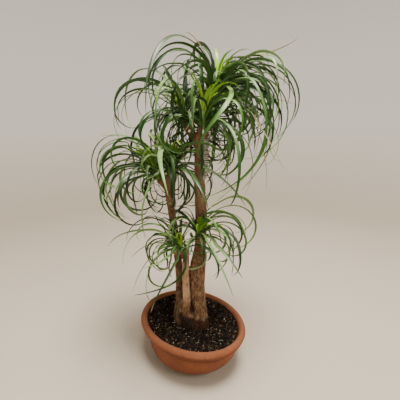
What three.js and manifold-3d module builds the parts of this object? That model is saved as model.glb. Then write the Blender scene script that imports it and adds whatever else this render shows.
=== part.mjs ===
import * as THREE from 'three';
import Module from 'manifold-3d';

// Ponytail palm: three grey stems, seven heads of arching strap leaves, an oval terracotta bowl.
// Millimetres, +Z up. The origin is the centre of the pot's foot, +X the viewer's right, +Y away.

const wasm = await Module();
wasm.setup();

// clear space left between pieces that touch
const gap = 0.3;

// Oval bowl: a profile of [inset from the rim's outline, height], swept round the outline.
const pot = {
  halfLong: 200,
  halfShort: 162.5,
  // the foot is almost round: its long half is shorter by this, and less so further up
  rounding: 41,
  ovalFrom: 113,
  turn: -45,
  sides: 34,
  outside: [
    [72, 0], [62, 4], [44, 15], [28.5, 34], [23, 58], [22, 86], [21.5, 115],
    [11, 114.5], [2, 119], [0, 125], [3, 133.5], [10, 138.5], [18, 136],
  ],
  inside: [[23.5, 124], [32, 104], [33, 74], [38.5, 40], [51, 22], [66, 14]],
  drains: [[46, -30], [-40, 38], [-52, -34]],
  drainRadius: 7,
};

// Soil: level with the lower edge of the lip, crumbly on top, pressed against the wall.
const soil = { level: 122, relief: 2.6, rings: [0.26, 0.4, 0.54, 0.68, 0.82, 0.92] };

// Foot that the stems grow from: [height, scale of the oval]. Below the soil it is a plain taper.
const foot = {
  x: -3, y: -10, halfLong: 66, halfShort: 38, turn: -30, sides: 20, plainBelow: 131,
  rings: [[62, 0.7], [100, 0.92], [122, 1], [131, 1], [143, 0.98], [152, 0.88], [158, 0.72], [163, 0.5]],
};

// Stems and branches: centre x, y, z and radius at each ring.
const stems = {
  right: [
    [25, -27, 131.5, 28.5], [28, -28, 150, 27], [27, -27, 185, 25.5], [25, -26, 221, 24],
    [21, -24, 275, 24], [22, -22, 336, 26], [27, -22, 380, 22.5], [31, -22, 421, 18.5],
    [33, -22, 518, 19], [29, -20, 598, 16.5], [28, -18, 689, 16], [31, -18, 748, 16.5],
    [35, -18, 785, 14],
  ],
  left: [
    [-42, 4, 131.5, 18], [-46, 3, 155, 16], [-42, 4, 201, 13.5], [-41, 6, 258, 13],
    [-41, 6, 310, 13], [-50, 4, 424, 12.5], [-61, 0, 521, 12], [-71, -4, 594, 11.5],
    [-80, -7, 632, 10.5],
  ],
  middle: [
    [-13, -27, 131.5, 19], [-15, -30, 154, 17], [-14, -31, 190, 15], [-13.5, -31, 224, 14.5],
    [-15.5, -31, 279, 13], [-16.5, -32, 352, 11.5], [-13, -32, 421, 9.5],
  ],
  toB: [[29, -18, 735, 12], [40, -4, 765, 12.5], [54, 20, 796, 12], [64, 34, 818, 12.5]],
  toC: [[29, -18, 725, 12], [14, -10, 755, 12], [0, -2, 775, 11.5], [-10, 2, 790, 12]],
  toD: [[-74, -5, 600, 9.5], [-86, -9, 617, 10], [-96, -12, 628, 10.5]],
  toE: [[-73, -5, 600, 9.5], [-66, -6, 620, 10], [-62, -6, 636, 10.5]],
  toF: [[-16, -32, 362, 8], [-23, -37, 386, 8], [-30, -43, 407, 7.5]],
  toG: [[31, -24, 408, 9], [27, -38, 432, 8.5], [22, -53, 455, 8]],
  prunedLeft: [[-76, -6, 615, 9], [-78, -17, 638, 7.5], [-77, -22, 649, 7]],
  prunedC: [[12, -10, 755, 9], [4, -30, 768, 8], [2, -38, 774, 7.5]],
  leafBase: [[29, -22, 745, 9], [46, -34, 757, 6], [53, -40, 765, 4]],
};

// Heads: foot of the core, lean [direction, angle from upright], core [height, radius], leaves,
// seed, size, and the limits of the seeded leaves [lowest x, highest x, highest z].
const heads = {
  A: {
    stem: 'right', at: [35, -18, 785], lean: [350, 10], core: [36, 15],
    leaves: 5, seed: 11, size: 0.75, reach: [-110, 285, 930],
  },
  B: {
    stem: 'toB', at: [64, 34, 818], lean: [20, 14], core: [95, 13],
    leaves: 2, seed: 23, size: 0.74, reach: [-120, 310, 985],
  },
  C: {
    stem: 'toC', at: [-10, 2, 790], lean: [170, 16], core: [34, 14],
    leaves: 4, seed: 37, size: 0.66, reach: [-232, 60, 925],
  },
  D: {
    stem: 'toD', at: [-96, -12, 628], lean: [175, 24], core: [46, 12.5],
    leaves: 6, seed: 41, size: 0.68, reach: [-290, 0, 760],
  },
  E: {
    stem: 'toE', at: [-62, -6, 636], lean: [60, 8], core: [42, 12.5],
    leaves: 5, seed: 53, size: 0.66, reach: [-150, 130, 790],
  },
  F: {
    stem: 'toF', at: [-30, -43, 407], lean: [215, 20], core: [20, 9],
    leaves: 4, seed: 67, size: 0.5, reach: [-240, 60, 520],
  },
  G: {
    stem: 'toG', at: [22, -53, 455], lean: [305, 26], core: [26, 9.5],
    leaves: 4, seed: 79, size: 0.55, reach: [-70, 190, 565],
  },
};

// Leaves set by eye: head, direction, rise, length, turn, lag, drift, width, share of the core's height.
const longLeaves = [
  ['A', -27, 61, 220, 165, 1.6, -18, 9, 0.6], ['A', 37, 41, 320, 150, 1.7, 22, 9, 0.1],
  ['A', 27, 36, 280, 140, 1.5, 28, 9, 0.1], ['A', -42, 9, 240, 175, 1.1, -56, 9, 0.1],
  ['A', 45, 6, 370, 140, 1.3, 14, 8, 0.2], ['A', -94, -32, 280, 150, 1.3, 14, 10, 0.7],
  ['A', -100, 56, 240, 145, 1.4, 10, 12, 0.2], ['A', 95, 89, 260, 85, 1.3, 2, 10, 0.7],
  ['A', -32, 59, 220, 160, 1.4, -18, 10, 0.1], ['A', 203, 47, 120, 135, 1.1, 0, 10, 0.5],
  ['A', -27, 26, 250, 185, 0.7, -52, 9, 0.4], ['A', -62, 27, 440, 205, 1.1, -26, 9, 0.1],
  ['A', -3, 23, 170, 125, 1.7, 0, 10, 0.2], ['A', 31, 43, 310, 155, 1.3, 16, 13, 0.1],
  ['A', -50, -16, 140, 110, 1.3, 2, 9, 0.4], ['A', 135, 89, 400, 175, 1.3, -20, 10, 0.6],
  ['A', 24, 87, 300, 110, 1.1, 14, 11, 0.4], ['A', 108, 89, 280, 115, 1.8, -26, 12, 1],
  ['A', 28, 88, 260, 115, 1.3, 94, 12, 0.4], ['A', 24, 89, 260, 105, 0.9, 92, 12, 0.1],
  ['A', 20, 89, 260, 100, 0.6, 98, 12, 0.1], ['A', 129, 89, 270, 135, 1.5, -76, 12, 0.2],
  ['B', -12, 81, 430, 205, 1.1, -8, 12, 0.4], ['B', 4, 32, 350, 145, 1.6, 10, 10, 0.9],
  ['B', -21, 78, 520, 265, 0.9, 22, 10, 0.4], ['B', 27, 47, 410, 175, 1.9, 36, 10, 0.7],
  ['B', -63, 56, 350, 170, 1.3, 22, 12, 0.5], ['B', 60, 89, 590, 195, 1.1, -90, 9, 0.1],
  ['B', -37, 60, 280, 200, 1.3, -22, 9, 0.5], ['B', -31, 9, 310, 135, 1.2, -42, 9, 0.8],
  ['B', 34, 12, 540, 190, 1.8, 90, 8, 0.9], ['B', -62, 58, 570, 230, 0.7, 90, 9, 0.9],
  ['B', 135, 89, 270, 195, 1.9, -22, 13, 0.8], ['B', 235, 89, 500, 180, 0.8, 20, 10, 0.7],
  ['B', 216, 89, 330, 180, 1.3, -14, 10, 0.6], ['B', 161, 89, 440, 215, 1.2, -18, 12, 0.6],
  ['B', 24, 68, 270, 160, 1.2, 18, 10, 0.5], ['B', 31, 54, 310, 120, 1.6, 30, 8, 0.3],
  ['B', 28, 49, 300, 130, 1.5, 24, 9, 0.4], ['B', 7, 47, 210, 150, 1.3, 12, 10, 0.4],
  ['B', 16, 37, 230, 150, 1.6, 30, 9, 0.1], ['B', -17, 31, 170, 130, 1.4, -4, 7, 0.1],
  ['B', -56, 49, 270, 230, 1.8, -32, 10, 0.6], ['B', -68, 52, 170, 160, 1.3, 10, 9, 0.6],
  ['B', 39, 77, 200, 50, 1.1, 22, 10, 0.4], ['B', 63, 80, 220, 65, 1.3, 24, 12, 0.5],
  ['B', 72, 89, 450, 145, 1.1, -90, 7, 0.1], ['B', -94, 1, 210, 195, 1.3, -4, 10, 0.5],
  ['B', 2, 47, 570, 235, 0.7, 78, 9, 0.9], ['B', 69, -40, 260, 155, 0.8, 24, 12, 0.1],
  ['B', 151, 89, 300, 280, 2.2, -84, 13, 0.8], ['B', -29, 71, 480, 240, 1.1, 40, 11, 0.5],
  ['B', -29, 78, 640, 270, 0.5, 124, 10, 0.9], ['B', -69, 0, 360, 70, 0.9, -200, 12, 1],
  ['B', 265, 89, 410, 145, 0.7, -58, 12, 0.1], ['B', -128, 65, 300, 220, 1, 98, 11, 0.6],
  ['C', 89, 68, 500, 175, 2, 90, 10, 0.1], ['C', 148, 74, 520, 240, 1.5, -28, 9, 0.6],
  ['C', 183, 86, 380, 220, 1.3, 22, 9, 0.1], ['C', 186, 81, 320, 205, 1.1, 6, 9, 0.5],
  ['C', 252, 89, 350, 185, 1, 10, 10, 0.1], ['C', 120, 13, 270, 45, 1.1, 48, 10, 0.9],
  ['C', -228, 67, 410, 125, 1.5, -28, 9, 0.5], ['C', 134, 32, 150, 120, 1, 8, 10, 0.9],
  ['C', 214, 54, 90, 145, 1.2, 0, 9, 0.2], ['C', -70, 19, 170, 215, 1.3, -32, 10, 0.9],
  ['C', 175, 38, 90, 115, 1.1, 2, 11, 0.8], ['C', 190, 37, 90, 120, 1.3, 0, 10, 0.3],
  ['C', 249, 17, 100, 220, 1.4, 56, 11, 0.5], ['C', 125, 50, 340, 85, 1.6, -24, 11, 0.9],
  ['C', 147, 80, 270, 105, 1.5, -82, 12, 1], ['C', 76, 89, 270, 120, 1.7, 16, 12, 1],
  ['D', 154, 70, 480, 225, 1.3, 10, 12, 0.4], ['D', 192, 73, 280, 195, 1.6, 6, 10, 0.3],
  ['D', 195, 78, 320, 255, 1.3, -6, 9, 0.5], ['D', 170, 52, 340, 225, 1, -24, 12, 0.3],
  ['D', 159, 20, 290, 130, 1.2, -4, 9, 0.5], ['D', 225, 35, 210, 150, 1.4, 26, 10, 0.1],
  ['D', 245, -28, 260, 150, 1.6, 44, 12, 0.2], ['D', 177, 66, 320, 245, 1.3, -14, 8, 0.7],
  ['D', 147, 18, 290, 105, 1.1, 0, 10, 0.9], ['D', 237, 38, 210, 115, 1.2, 6, 9, 0.3],
  ['D', 266, 31, 240, 80, 1.3, 30, 9, 0.5], ['D', 153, 76, 260, 115, 1.3, -92, 12, 0.3],
  ['D', 69, 89, 260, 150, 1.4, 52, 11, 0.7], ['E', -83, 47, 270, 220, 1.2, 14, 12, 0.8],
  ['E', -64, 25, 270, 90, 1.3, 6, 13, 0.3], ['E', -40, 17, 290, 75, 1, 20, 10, 0.9],
  ['E', -9, 81, 340, 210, 1, -4, 9, 0.8], ['E', -99, 65, 310, 125, 0.7, 44, 13, 0.9],
  ['E', -57, 35, 240, 105, 1.4, -8, 10, 0.1], ['E', 23, 68, 180, 95, 1.5, 6, 9, 0.1],
  ['E', -36, -8, 130, 80, 1.4, 18, 9, 0.4], ['E', -83, 17, 220, 185, 1.2, 10, 14, 0.8],
  ['E', 164, 43, 160, 145, 1.2, 0, 10, 0.8], ['E', -49, 73, 280, 120, 0.9, 22, 12, 0.5],
  ['E', -72, 24, 300, 85, 1.1, 14, 14, 0.9], ['E', 59, 82, 260, 155, 1.6, 94, 12, 0.8],
  ['E', 27, 66, 270, 105, 1.7, 100, 12, 0.1], ['E', 144, 61, 260, 125, 1.5, -96, 11, 0.9],
  ['F', 162, 74, 170, 70, 1.1, -44, 9, 0.1], ['F', 183, 62, 200, 180, 2, -12, 7, 0.9],
  ['F', 194, 72, 280, 125, 0.7, -56, 6, 0.9], ['F', 243, 38, 260, 95, 1.2, 2, 8, 0.3],
  ['F', 198, 31, 160, 85, 1.2, 2, 7, 0.9], ['F', 231, 29, 250, 160, 1.2, 22, 7, 0.4],
  ['F', 252, 40, 170, 205, 1.1, 14, 7, 0.9], ['F', 272, 16, 270, 90, 1.5, -70, 7, 0.5],
  ['F', 159, 87, 120, 85, 1.3, -14, 12, 0.5], ['F', 251, -5, 150, 5, 1.3, -64, 9, 0.9],
  ['F', 13, -40, 290, 165, 0.7, 90, 9, 0.9], ['F', -28, 38, 220, 185, 1.5, -40, 9, 0.1],
  ['F', 153, 86, 120, 95, 1.3, -16, 13, 0.9], ['F', 104, 89, 150, 125, 1.3, -4, 10, 0.2],
  ['F', 200, 60, 110, 185, 1.4, 6, 10, 0.1], ['G', 4, 72, 370, 270, 1.3, 0, 9, 0.9],
  ['G', -27, 71, 230, 200, 1.5, -20, 7, 0.9], ['G', -42, 79, 250, 175, 1.2, 2, 7, 0.9],
  ['G', -50, 38, 150, 85, 1.1, 22, 9, 0.9], ['G', -67, 11, 230, 55, 1.2, 22, 10, 0.9],
  ['G', -74, 20, 250, 80, 0.8, 26, 7, 0.9], ['G', 30, 53, 290, 210, 0.7, -8, 7, 0.9],
  ['G', 243, -1, 110, 25, 1.3, -22, 7, 0.1], ['G', 51, 67, 380, 265, 1.7, -6, 10, 0.5],
  ['G', 43, 89, 320, 250, 0.9, -90, 9, 0.5], ['G', -70, 84, 200, 190, 1.3, 34, 8, 0.5],
  ['G', -25, 24, 100, 85, 1.3, 8, 7, 0.1], ['G', 140, 56, 160, 90, 1.3, -28, 9, 0.5],
  ['G', 120, 88, 190, 180, 1.3, 20, 7, 0.2], ['G', 242, 17, 170, 185, 1.3, 48, 9, 0.3],
  ['G', 31, 89, 150, 95, 1, 0, 10, 0.1], ['G', 11, 76, 210, 170, 1.1, 14, 9, 0.1],
  ['G', -78, 29, 140, 190, 1.3, 0, 9, 0.3],
];

const leafRule = {
  golden: 137.508,
  points: 41,
  // points with a cross-section, on leaves up to the given length
  sections: [
    [180, [0, 13, 26, 40]], [290, [0, 10, 20, 30, 40]], [440, [0, 8, 16, 24, 32, 40]],
    [9999, [0, 6, 13, 20, 27, 34, 40]],
  ],
  heartSections: [0, 13, 27, 40],
  hearts: 5,
  clearance: 15,
  rounds: 80,
  depth: [-240, 255],
  // the crown's sides are limited as they look from this far in front
  viewer: 900,
};

const colours = {
  pot: ['#b9673f', 0.85],
  soil: ['#2a211c', 0.97],
  trunk: ['#76604c', 0.92],
  leaves: ['#3b6a2e', 0.5],
  heart: ['#8fb52e', 0.45],
};

const radians = THREE.MathUtils.degToRad;
const lerp = THREE.MathUtils.lerp;
const clamp = THREE.MathUtils.clamp;

function drawFrom(seed) {
  let state = seed;
  return (low, high) => {
    state = (state * 16807) % 2147483647;
    return low + (high - low) * state / 2147483647;
  };
}

function heading(direction, rise) {
  const flat = Math.cos(radians(rise));
  return new THREE.Vector3(
    flat * Math.cos(radians(direction)),
    flat * Math.sin(radians(direction)),
    Math.sin(radians(rise)),
  );
}

function solidFrom(vertices, triangles) {
  const mesh = new wasm.Mesh({
    numProp: 3,
    vertProperties: new Float32Array(vertices),
    triVerts: new Uint32Array(triangles),
  });
  mesh.merge();
  return new wasm.Manifold(mesh);
}

// Closed skin over rings of equal count, with a fan at each end.
function ringSolid(rings) {
  const vertices = [];
  const triangles = [];
  const count = rings[0].length;
  for (const ring of rings) {
    for (const point of ring) vertices.push(point.x, point.y, point.z);
  }
  for (let r = 0; r < rings.length - 1; r += 1) {
    for (let k = 0; k < count; k += 1) {
      const a = r * count + k;
      const b = r * count + (k + 1) % count;
      triangles.push(a, b, b + count, a, b + count, a + count);
    }
  }
  for (const [ring, flip] of [[0, true], [rings.length - 1, false]]) {
    const middle = new THREE.Vector3();
    for (const point of rings[ring]) middle.addScaledVector(point, 1 / count);
    const centre = vertices.length / 3;
    vertices.push(middle.x, middle.y, middle.z);
    for (let k = 0; k < count; k += 1) {
      const a = ring * count + k;
      const b = ring * count + (k + 1) % count;
      if (flip) triangles.push(centre, b, a);
      else triangles.push(centre, a, b);
    }
  }
  return solidFrom(vertices, triangles);
}

function ovalRing(inset, z, halfLong, halfShort, sides, turn, x, y) {
  const ring = [];
  for (let k = 0; k < sides; k += 1) {
    const angle = 2 * Math.PI * k / sides;
    const point = new THREE.Vector3(
      (halfLong - inset) * Math.cos(angle),
      (halfShort - inset) * Math.sin(angle),
      z,
    );
    point.applyAxisAngle(new THREE.Vector3(0, 0, 1), radians(turn));
    ring.push(point.add(new THREE.Vector3(x, y, 0)));
  }
  return ring;
}

function potRing([inset, z]) {
  const shorter = pot.rounding * (1 - Math.min(z, pot.ovalFrom) / pot.ovalFrom) ** 2;
  return ovalRing(inset, z, pot.halfLong - shorter, pot.halfShort, pot.sides, pot.turn, 0, 0);
}

// Wall from the foot's edge over the rim and down to the floor, with drain holes in the floor.
function makePot() {
  let body = ringSolid([...pot.outside, ...pot.inside].map(potRing));
  for (const [x, y] of pot.drains) {
    const bottom = ovalRing(0, -5, pot.drainRadius, pot.drainRadius, 12, 0, x, y);
    const top = ovalRing(0, 30, pot.drainRadius, pot.drainRadius, 12, 0, x, y);
    body = body.subtract(ringSolid([bottom, top]));
  }
  return body;
}

function footRing(extra, z, scale) {
  const { halfLong, halfShort, sides, turn, x, y } = foot;
  return ovalRing(-extra, z, halfLong * scale, halfShort * scale, sides, turn, x, y);
}

// Foot of the plant. Its outline is furrowed by the roots above the soil only.
function makeFoot(extra) {
  const rings = foot.rings.map(([z, scale], r) => {
    const last = z === foot.rings[0][0] ? extra : 0;
    const ring = footRing(extra, z - last, scale);
    if (z <= foot.plainBelow) return ring;
    const middle = new THREE.Vector3(foot.x, foot.y, z);
    return ring.map((point, k) => {
      const furrow = 1 + 0.07 * Math.sin(2.5 * k + r) + 0.04 * Math.sin(4.1 * k - 2 * r);
      return point.sub(middle).multiplyScalar(furrow).add(middle);
    });
  });
  return ringSolid(rings);
}

// Soil: the inside of the bowl up to the soil's level, with a crumbly top and a plain hole.
function makeSoil() {
  const wall = [];
  for (const [inset, z] of [...pot.inside].reverse()) {
    if (z < soil.level - 3) wall.push([inset + 1.9 * gap, z + gap]);
  }
  wall.push([24.9, soil.level]);
  const rings = wall.map(potRing);
  const [edge] = wall[wall.length - 1];
  const draw = drawFrom(97);
  for (const share of [...soil.rings].reverse()) {
    const ring = ovalRing(
      0, soil.level, (pot.halfLong - edge) * share, (pot.halfShort - edge) * share,
      pot.sides, pot.turn, 0, 0,
    );
    for (const point of ring) {
      const mound = 3 * Math.exp(-(((point.x - foot.x) / 95) ** 2) - ((point.y - foot.y) / 80) ** 2);
      point.z += mound + draw(-1, 1) * soil.relief + 0.5;
    }
    rings.push(ring);
  }
  const plainFoot = foot.rings.filter(([z]) => z <= foot.plainBelow);
  const hole = plainFoot.map(([z, scale], k) => {
    const low = k === 0 ? gap : 0;
    return footRing(1.3 * gap, z - low, scale);
  });
  hole.push(footRing(1.3 * gap, 160, 1));
  return largest(ringSolid(rings).subtract(ringSolid(hole)));
}

// Tube through rings of given centre and radius, furrowed a little as bark is.
function tube(line, sides, furrow, facing) {
  const centres = line.map(([x, y, z]) => new THREE.Vector3(x, y, z));
  const side = new THREE.Vector3(1, 0, 0);
  const rings = line.map(([, , , radius], r) => {
    const before = centres[Math.max(r - 1, 0)];
    const after = centres[Math.min(r + 1, line.length - 1)];
    const ends = facing && r === line.length - 1;
    const along = ends ? facing.clone() : after.clone().sub(before).normalize();
    side.addScaledVector(along, -side.dot(along)).normalize();
    const up = along.clone().cross(side);
    const ring = [];
    for (let k = 0; k < sides; k += 1) {
      const angle = 2 * Math.PI * k / sides;
      const wave = r === line.length - 1 ? 0 : furrow * Math.sin(3 * angle + 1.7 * r);
      const reach = radius * (1 + wave + 0.5 * furrow * Math.sin(5 * angle - r));
      ring.push(centres[r].clone()
        .addScaledVector(side, reach * Math.cos(angle))
        .addScaledVector(up, reach * Math.sin(angle)));
    }
    return ring;
  });
  return ringSolid(rings);
}

function makeTrunk() {
  let body = makeFoot(0);
  for (const [name, line] of Object.entries(stems)) {
    const thick = ['right', 'left', 'middle'].includes(name);
    const head = Object.values(heads).find((one) => one.stem === name);
    const facing = head ? headAxes(head).axis : null;
    body = body.add(tube(line, thick ? 11 : 7, thick ? 0.05 : 0.03, facing));
  }
  return largest(body);
}

function headAxes(head) {
  const axis = heading(head.lean[0], 90 - head.lean[1]);
  const across = new THREE.Vector3(0, 1, 0).cross(axis).normalize();
  return { axis, across, along: axis.clone().cross(across) };
}

function headPoint(head, up, out, direction) {
  return new THREE.Vector3(...head.at)
    .addScaledVector(headAxes(head).axis, up)
    .addScaledVector(direction, out);
}

// Centre line of a leaf: it leaves at the given rise and turns over more and more.
function leafLine(root, direction, rise, length, turn, lag, drift) {
  const line = [root.clone()];
  const steps = leafRule.points - 1;
  for (let k = 0; k < steps; k += 1) {
    const share = (k + 0.5) / steps;
    const step = heading(direction + drift * share ** 2, rise - turn * share ** lag);
    line.push(line[k].clone().addScaledVector(step, length / steps));
  }
  return line;
}

function rulesOf(towards) {
  const rise = THREE.MathUtils.radToDeg(Math.asin(clamp(towards.z, -1, 1)));
  const direction = THREE.MathUtils.radToDeg(Math.atan2(towards.y, towards.x));
  return { rise, direction };
}

// What blades keep clear of: each length of stem, and each core for the blades of other heads.
function makePipes() {
  const pipes = [];
  for (const line of Object.values(stems)) {
    line.slice(1).forEach((end, k) => {
      const radius = Math.max(line[k][3], end[3]);
      pipes.push({ from: line[k].slice(0, 3), to: end.slice(0, 3), radius, owner: '' });
    });
  }
  for (const [name, head] of Object.entries(heads)) {
    const top = headPoint(head, head.core[0] + 25, 0, headAxes(head).axis);
    pipes.push({ from: head.at, to: top.toArray(), radius: head.core[1], owner: name });
  }
  return pipes;
}

// Way from a pipe's centre line to a point, and how much nearer than the wanted space it is.
function fromPipe(x, y, z, pipe, space) {
  const { from, to, radius } = pipe;
  const wanted = radius + space;
  if (z < Math.min(from[2], to[2]) - wanted || z > Math.max(from[2], to[2]) + wanted) return null;
  const [runX, runY, runZ] = [to[0] - from[0], to[1] - from[1], to[2] - from[2]];
  const dot = runX * (x - from[0]) + runY * (y - from[1]) + runZ * (z - from[2]);
  const along = clamp(dot / (runX ** 2 + runY ** 2 + runZ ** 2), 0, 1);
  const away = [x - from[0] - along * runX, y - from[1] - along * runY, z - from[2] - along * runZ];
  const apart = Math.max(Math.hypot(...away), 1e-6);
  return apart < wanted ? { away, apart, wanted } : null;
}

// Grows a line in the wanted direction, or in the nearest one where no stem stands in its way.
function freeLine(name, root, direction, rise, length, turn, lag, drift) {
  const aside = [0, 14, -14, 28, -28, 42, -42];
  const lines = aside.map((more) => leafLine(root, direction + more, rise, length, turn, lag, drift));
  const blocked = (line) => line.some((point, k) => {
    const reach = length * k / (leafRule.points - 1);
    if (reach < 25 || reach > 160) return false;
    return pipes.some((pipe) => pipe.owner !== name && fromPipe(point.x, point.y, point.z, pipe, 5));
  });
  return lines.find((line) => !blocked(line)) ?? lines[0];
}

function beyondReach(line, head) {
  const [left, right, top] = head.reach;
  const [near, far] = leafRule.depth;
  return line.some(({ x, y, z }) => {
    const seen = x * leafRule.viewer / (leafRule.viewer + y);
    return seen < left || seen > right || y < near || y > far || z > top;
  });
}

// How far from a core's middle a leaf is rooted: well inside the core, which narrows upwards.
function rootReach(radius, share) {
  return radius * lerp(0.62, 0.32, share);
}

// Leaves set round the core by the golden angle, the young ones upright, the old ones hanging.
function growLeaves(name, head) {
  const draw = drawFrom(head.seed);
  const { axis, across, along } = headAxes(head);
  const [height, radius] = head.core;
  const leaves = [];
  for (let i = 0; i < head.leaves; i += 1) {
    const age = (i + 0.5) / head.leaves;
    const round = radians(i * leafRule.golden + draw(-14, 14));
    const spread = radians(12 + 62 * age + draw(-9, 9));
    const side = across.clone().multiplyScalar(Math.cos(round)).addScaledVector(along, Math.sin(round));
    const towards = axis.clone().multiplyScalar(Math.cos(spread)).addScaledVector(side, Math.sin(spread));
    const share = 0.86 - 0.62 * age;
    const root = headPoint(head, height * share, rootReach(radius, share), side);
    const { rise, direction } = rulesOf(towards);
    let length = head.size * draw(400, 660) * (1 - 0.2 * age) * (0.8 + 0.2 * Math.min(1, 4 * age));
    const turn = 195 + 45 * age + draw(-25, 85);
    const lag = 1.4 - 0.25 * age + draw(-0.3, 0.3);
    const drift = draw(-70, 70);
    let line = freeLine(name, root, direction, rise, length, turn, lag, drift);
    while (beyondReach(line, head)) {
      length *= 0.92;
      line = freeLine(name, root, direction, rise, length, turn, lag, drift);
    }
    const width = (14.5 - 3 * age) * draw(0.85, 1.15) * head.size ** 0.8;
    const twist = draw(-110, 110);
    // few stand in front, so the hearts show
    if (Math.abs(direction + 90) < (age > 0.55 ? 45 : 32)) continue;
    leaves.push({ name, kind: 'leaves', line, length, width, twist });
  }
  return leaves;
}

function growLongLeaves() {
  const draw = drawFrom(5);
  return longLeaves.map(([name, direction, rise, length, turn, lag, drift, width, share]) => {
    const head = heads[name];
    const root = headPoint(head, share * head.core[0], rootReach(head.core[1], share), heading(direction, 0));
    const line = freeLine(name, root, direction, rise, length, turn, lag, drift);
    return { name, kind: 'leaves', line, length, width, twist: draw(-90, 90) };
  });
}

// Youngest leaves: a tight spear that stands on top of the core.
function growHeart(name, head) {
  const draw = drawFrom(head.seed + 1000);
  const { axis, across, along } = headAxes(head);
  const leaves = [];
  for (let i = 0; i < leafRule.hearts; i += 1) {
    const age = (i + 0.5) / leafRule.hearts;
    const round = radians(i * leafRule.golden + draw(-10, 10));
    const spread = radians(4 + 11 * age);
    const side = across.clone().multiplyScalar(Math.cos(round)).addScaledVector(along, Math.sin(round));
    const towards = axis.clone().multiplyScalar(Math.cos(spread)).addScaledVector(side, Math.sin(spread));
    const root = headPoint(head, head.core[0] + gap + 2, 3, side);
    const { rise, direction } = rulesOf(towards);
    const length = head.size * (80 + 100 * age) * draw(0.9, 1.1);
    const line = freeLine(name, root, direction, rise, length, 20 + 60 * age, 1.9, draw(-20, 20));
    const width = 12 * (0.6 + 0.4 * head.size);
    leaves.push({ name, kind: 'heart', line, length, width, twist: draw(-20, 20) });
  }
  return leaves;
}

// Pushes neighbouring blades apart, a little each round, and bends them clear of the stems.
// The hearts stay as they are.
function spread(leaves) {
  const { points, clearance, rounds } = leafRule;
  const total = leaves.length * points;
  const place = new Float64Array(total * 3);
  const free = new Float64Array(total);
  const reach = new Float64Array(total);
  leaves.forEach((leaf, i) => leaf.line.forEach((point, k) => {
    const at = i * points + k;
    place.set([point.x, point.y, point.z], at * 3);
    reach[at] = leaf.length * k / (points - 1);
    free[at] = leaf.kind === 'heart' ? 0 : clamp((reach[at] - 15) / 60, 0, 1);
  }));
  for (let round = 0; round < rounds; round += 1) {
    const push = new Float64Array(total * 3);
    const hits = new Float64Array(total);
    const cells = new Map();
    const keyOf = (x, y, z) => (x + 200) * 160000 + (y + 200) * 400 + (z + 200);
    const cellOf = (at, axis) => Math.floor(place[at * 3 + axis] / clearance);
    for (let at = 0; at < total; at += 1) {
      const key = keyOf(cellOf(at, 0), cellOf(at, 1), cellOf(at, 2));
      if (!cells.has(key)) cells.set(key, []);
      cells.get(key).push(at);
    }
    for (let a = 0; a < total; a += 1) {
      for (let n = 0; n < 27; n += 1) {
        const key = keyOf(
          cellOf(a, 0) + n % 3 - 1,
          cellOf(a, 1) + Math.floor(n / 3) % 3 - 1,
          cellOf(a, 2) + Math.floor(n / 9) - 1,
        );
        for (const b of cells.get(key) ?? []) {
          if (b <= a) continue;
          const one = leaves[Math.floor(a / points)];
          const other = leaves[Math.floor(b / points)];
          if (one === other) continue;
          const rootZone = one.kind === other.kind ? 70 : 28;
          if (one.name === other.name && reach[a] < rootZone && reach[b] < rootZone) continue;
          const x = place[a * 3] - place[b * 3];
          const y = place[a * 3 + 1] - place[b * 3 + 1];
          const z = place[a * 3 + 2] - place[b * 3 + 2];
          const apart = Math.max(Math.hypot(x, y, z), 1e-6);
          if (apart >= clearance) continue;
          const force = (clearance - apart) / 2 / apart;
          [x, y, z].forEach((part, axis) => {
            push[a * 3 + axis] += part * force;
            push[b * 3 + axis] -= part * force;
          });
          hits[a] += 1;
          hits[b] += 1;
        }
      }
    }
    for (let at = 0; at < total; at += 1) {
      const point = place.subarray(at * 3, at * 3 + 3);
      const move = push.subarray(at * 3, at * 3 + 3);
      for (let axis = 0; axis < 3; axis += 1) move[axis] /= Math.sqrt(Math.max(hits[at], 1));
      for (const pipe of pipes) {
        if (pipe.owner === leaves[Math.floor(at / points)].name) continue;
        const hit = fromPipe(point[0], point[1], point[2], pipe, 9);
        if (!hit) continue;
        const share = (hit.wanted - hit.apart) / hit.apart;
        for (let axis = 0; axis < 3; axis += 1) move[axis] += hit.away[axis] * share;
      }
      for (let axis = 0; axis < 3; axis += 1) move[axis] *= free[at];
    }
    for (let pass = 0; pass < 3; pass += 1) {
      const was = push.slice();
      for (let at = 0; at < total; at += 1) {
        const k = at % points;
        if (k === 0) continue;
        for (let axis = 0; axis < 3; axis += 1) {
          const here = was[at * 3 + axis];
          const before = was[(at - 1) * 3 + axis];
          const after = k < points - 1 ? was[(at + 1) * 3 + axis] : here;
          if (k < points - 1) push[at * 3 + axis] = 0.25 * before + 0.5 * here + 0.25 * after;
          else push[at * 3 + axis] = 0.5 * before + 0.5 * here;
        }
      }
    }
    for (let at = 0; at < total; at += 1) {
      for (let axis = 0; axis < 3; axis += 1) place[at * 3 + axis] += 1.3 * push[at * 3 + axis] * free[at];
    }
  }
  leaves.forEach((leaf, i) => leaf.line.forEach((point, k) => {
    point.fromArray(place, (i * points + k) * 3);
  }));
}

function bladeWidth(leaf, share) {
  const base = 1 + 0.25 * clamp(1 - share / 0.1, 0, 1) ** 1.5;
  return leaf.width * base * clamp((1 - share) / 0.42, 0, 1) ** 0.8 + 0.5;
}

// Points of the centre line where a blade has a cross-section.
function marksOf(leaf) {
  if (leaf.kind === 'heart') return leafRule.heartSections;
  return leafRule.sections.find(([upTo]) => leaf.length < upTo)[1];
}

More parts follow.
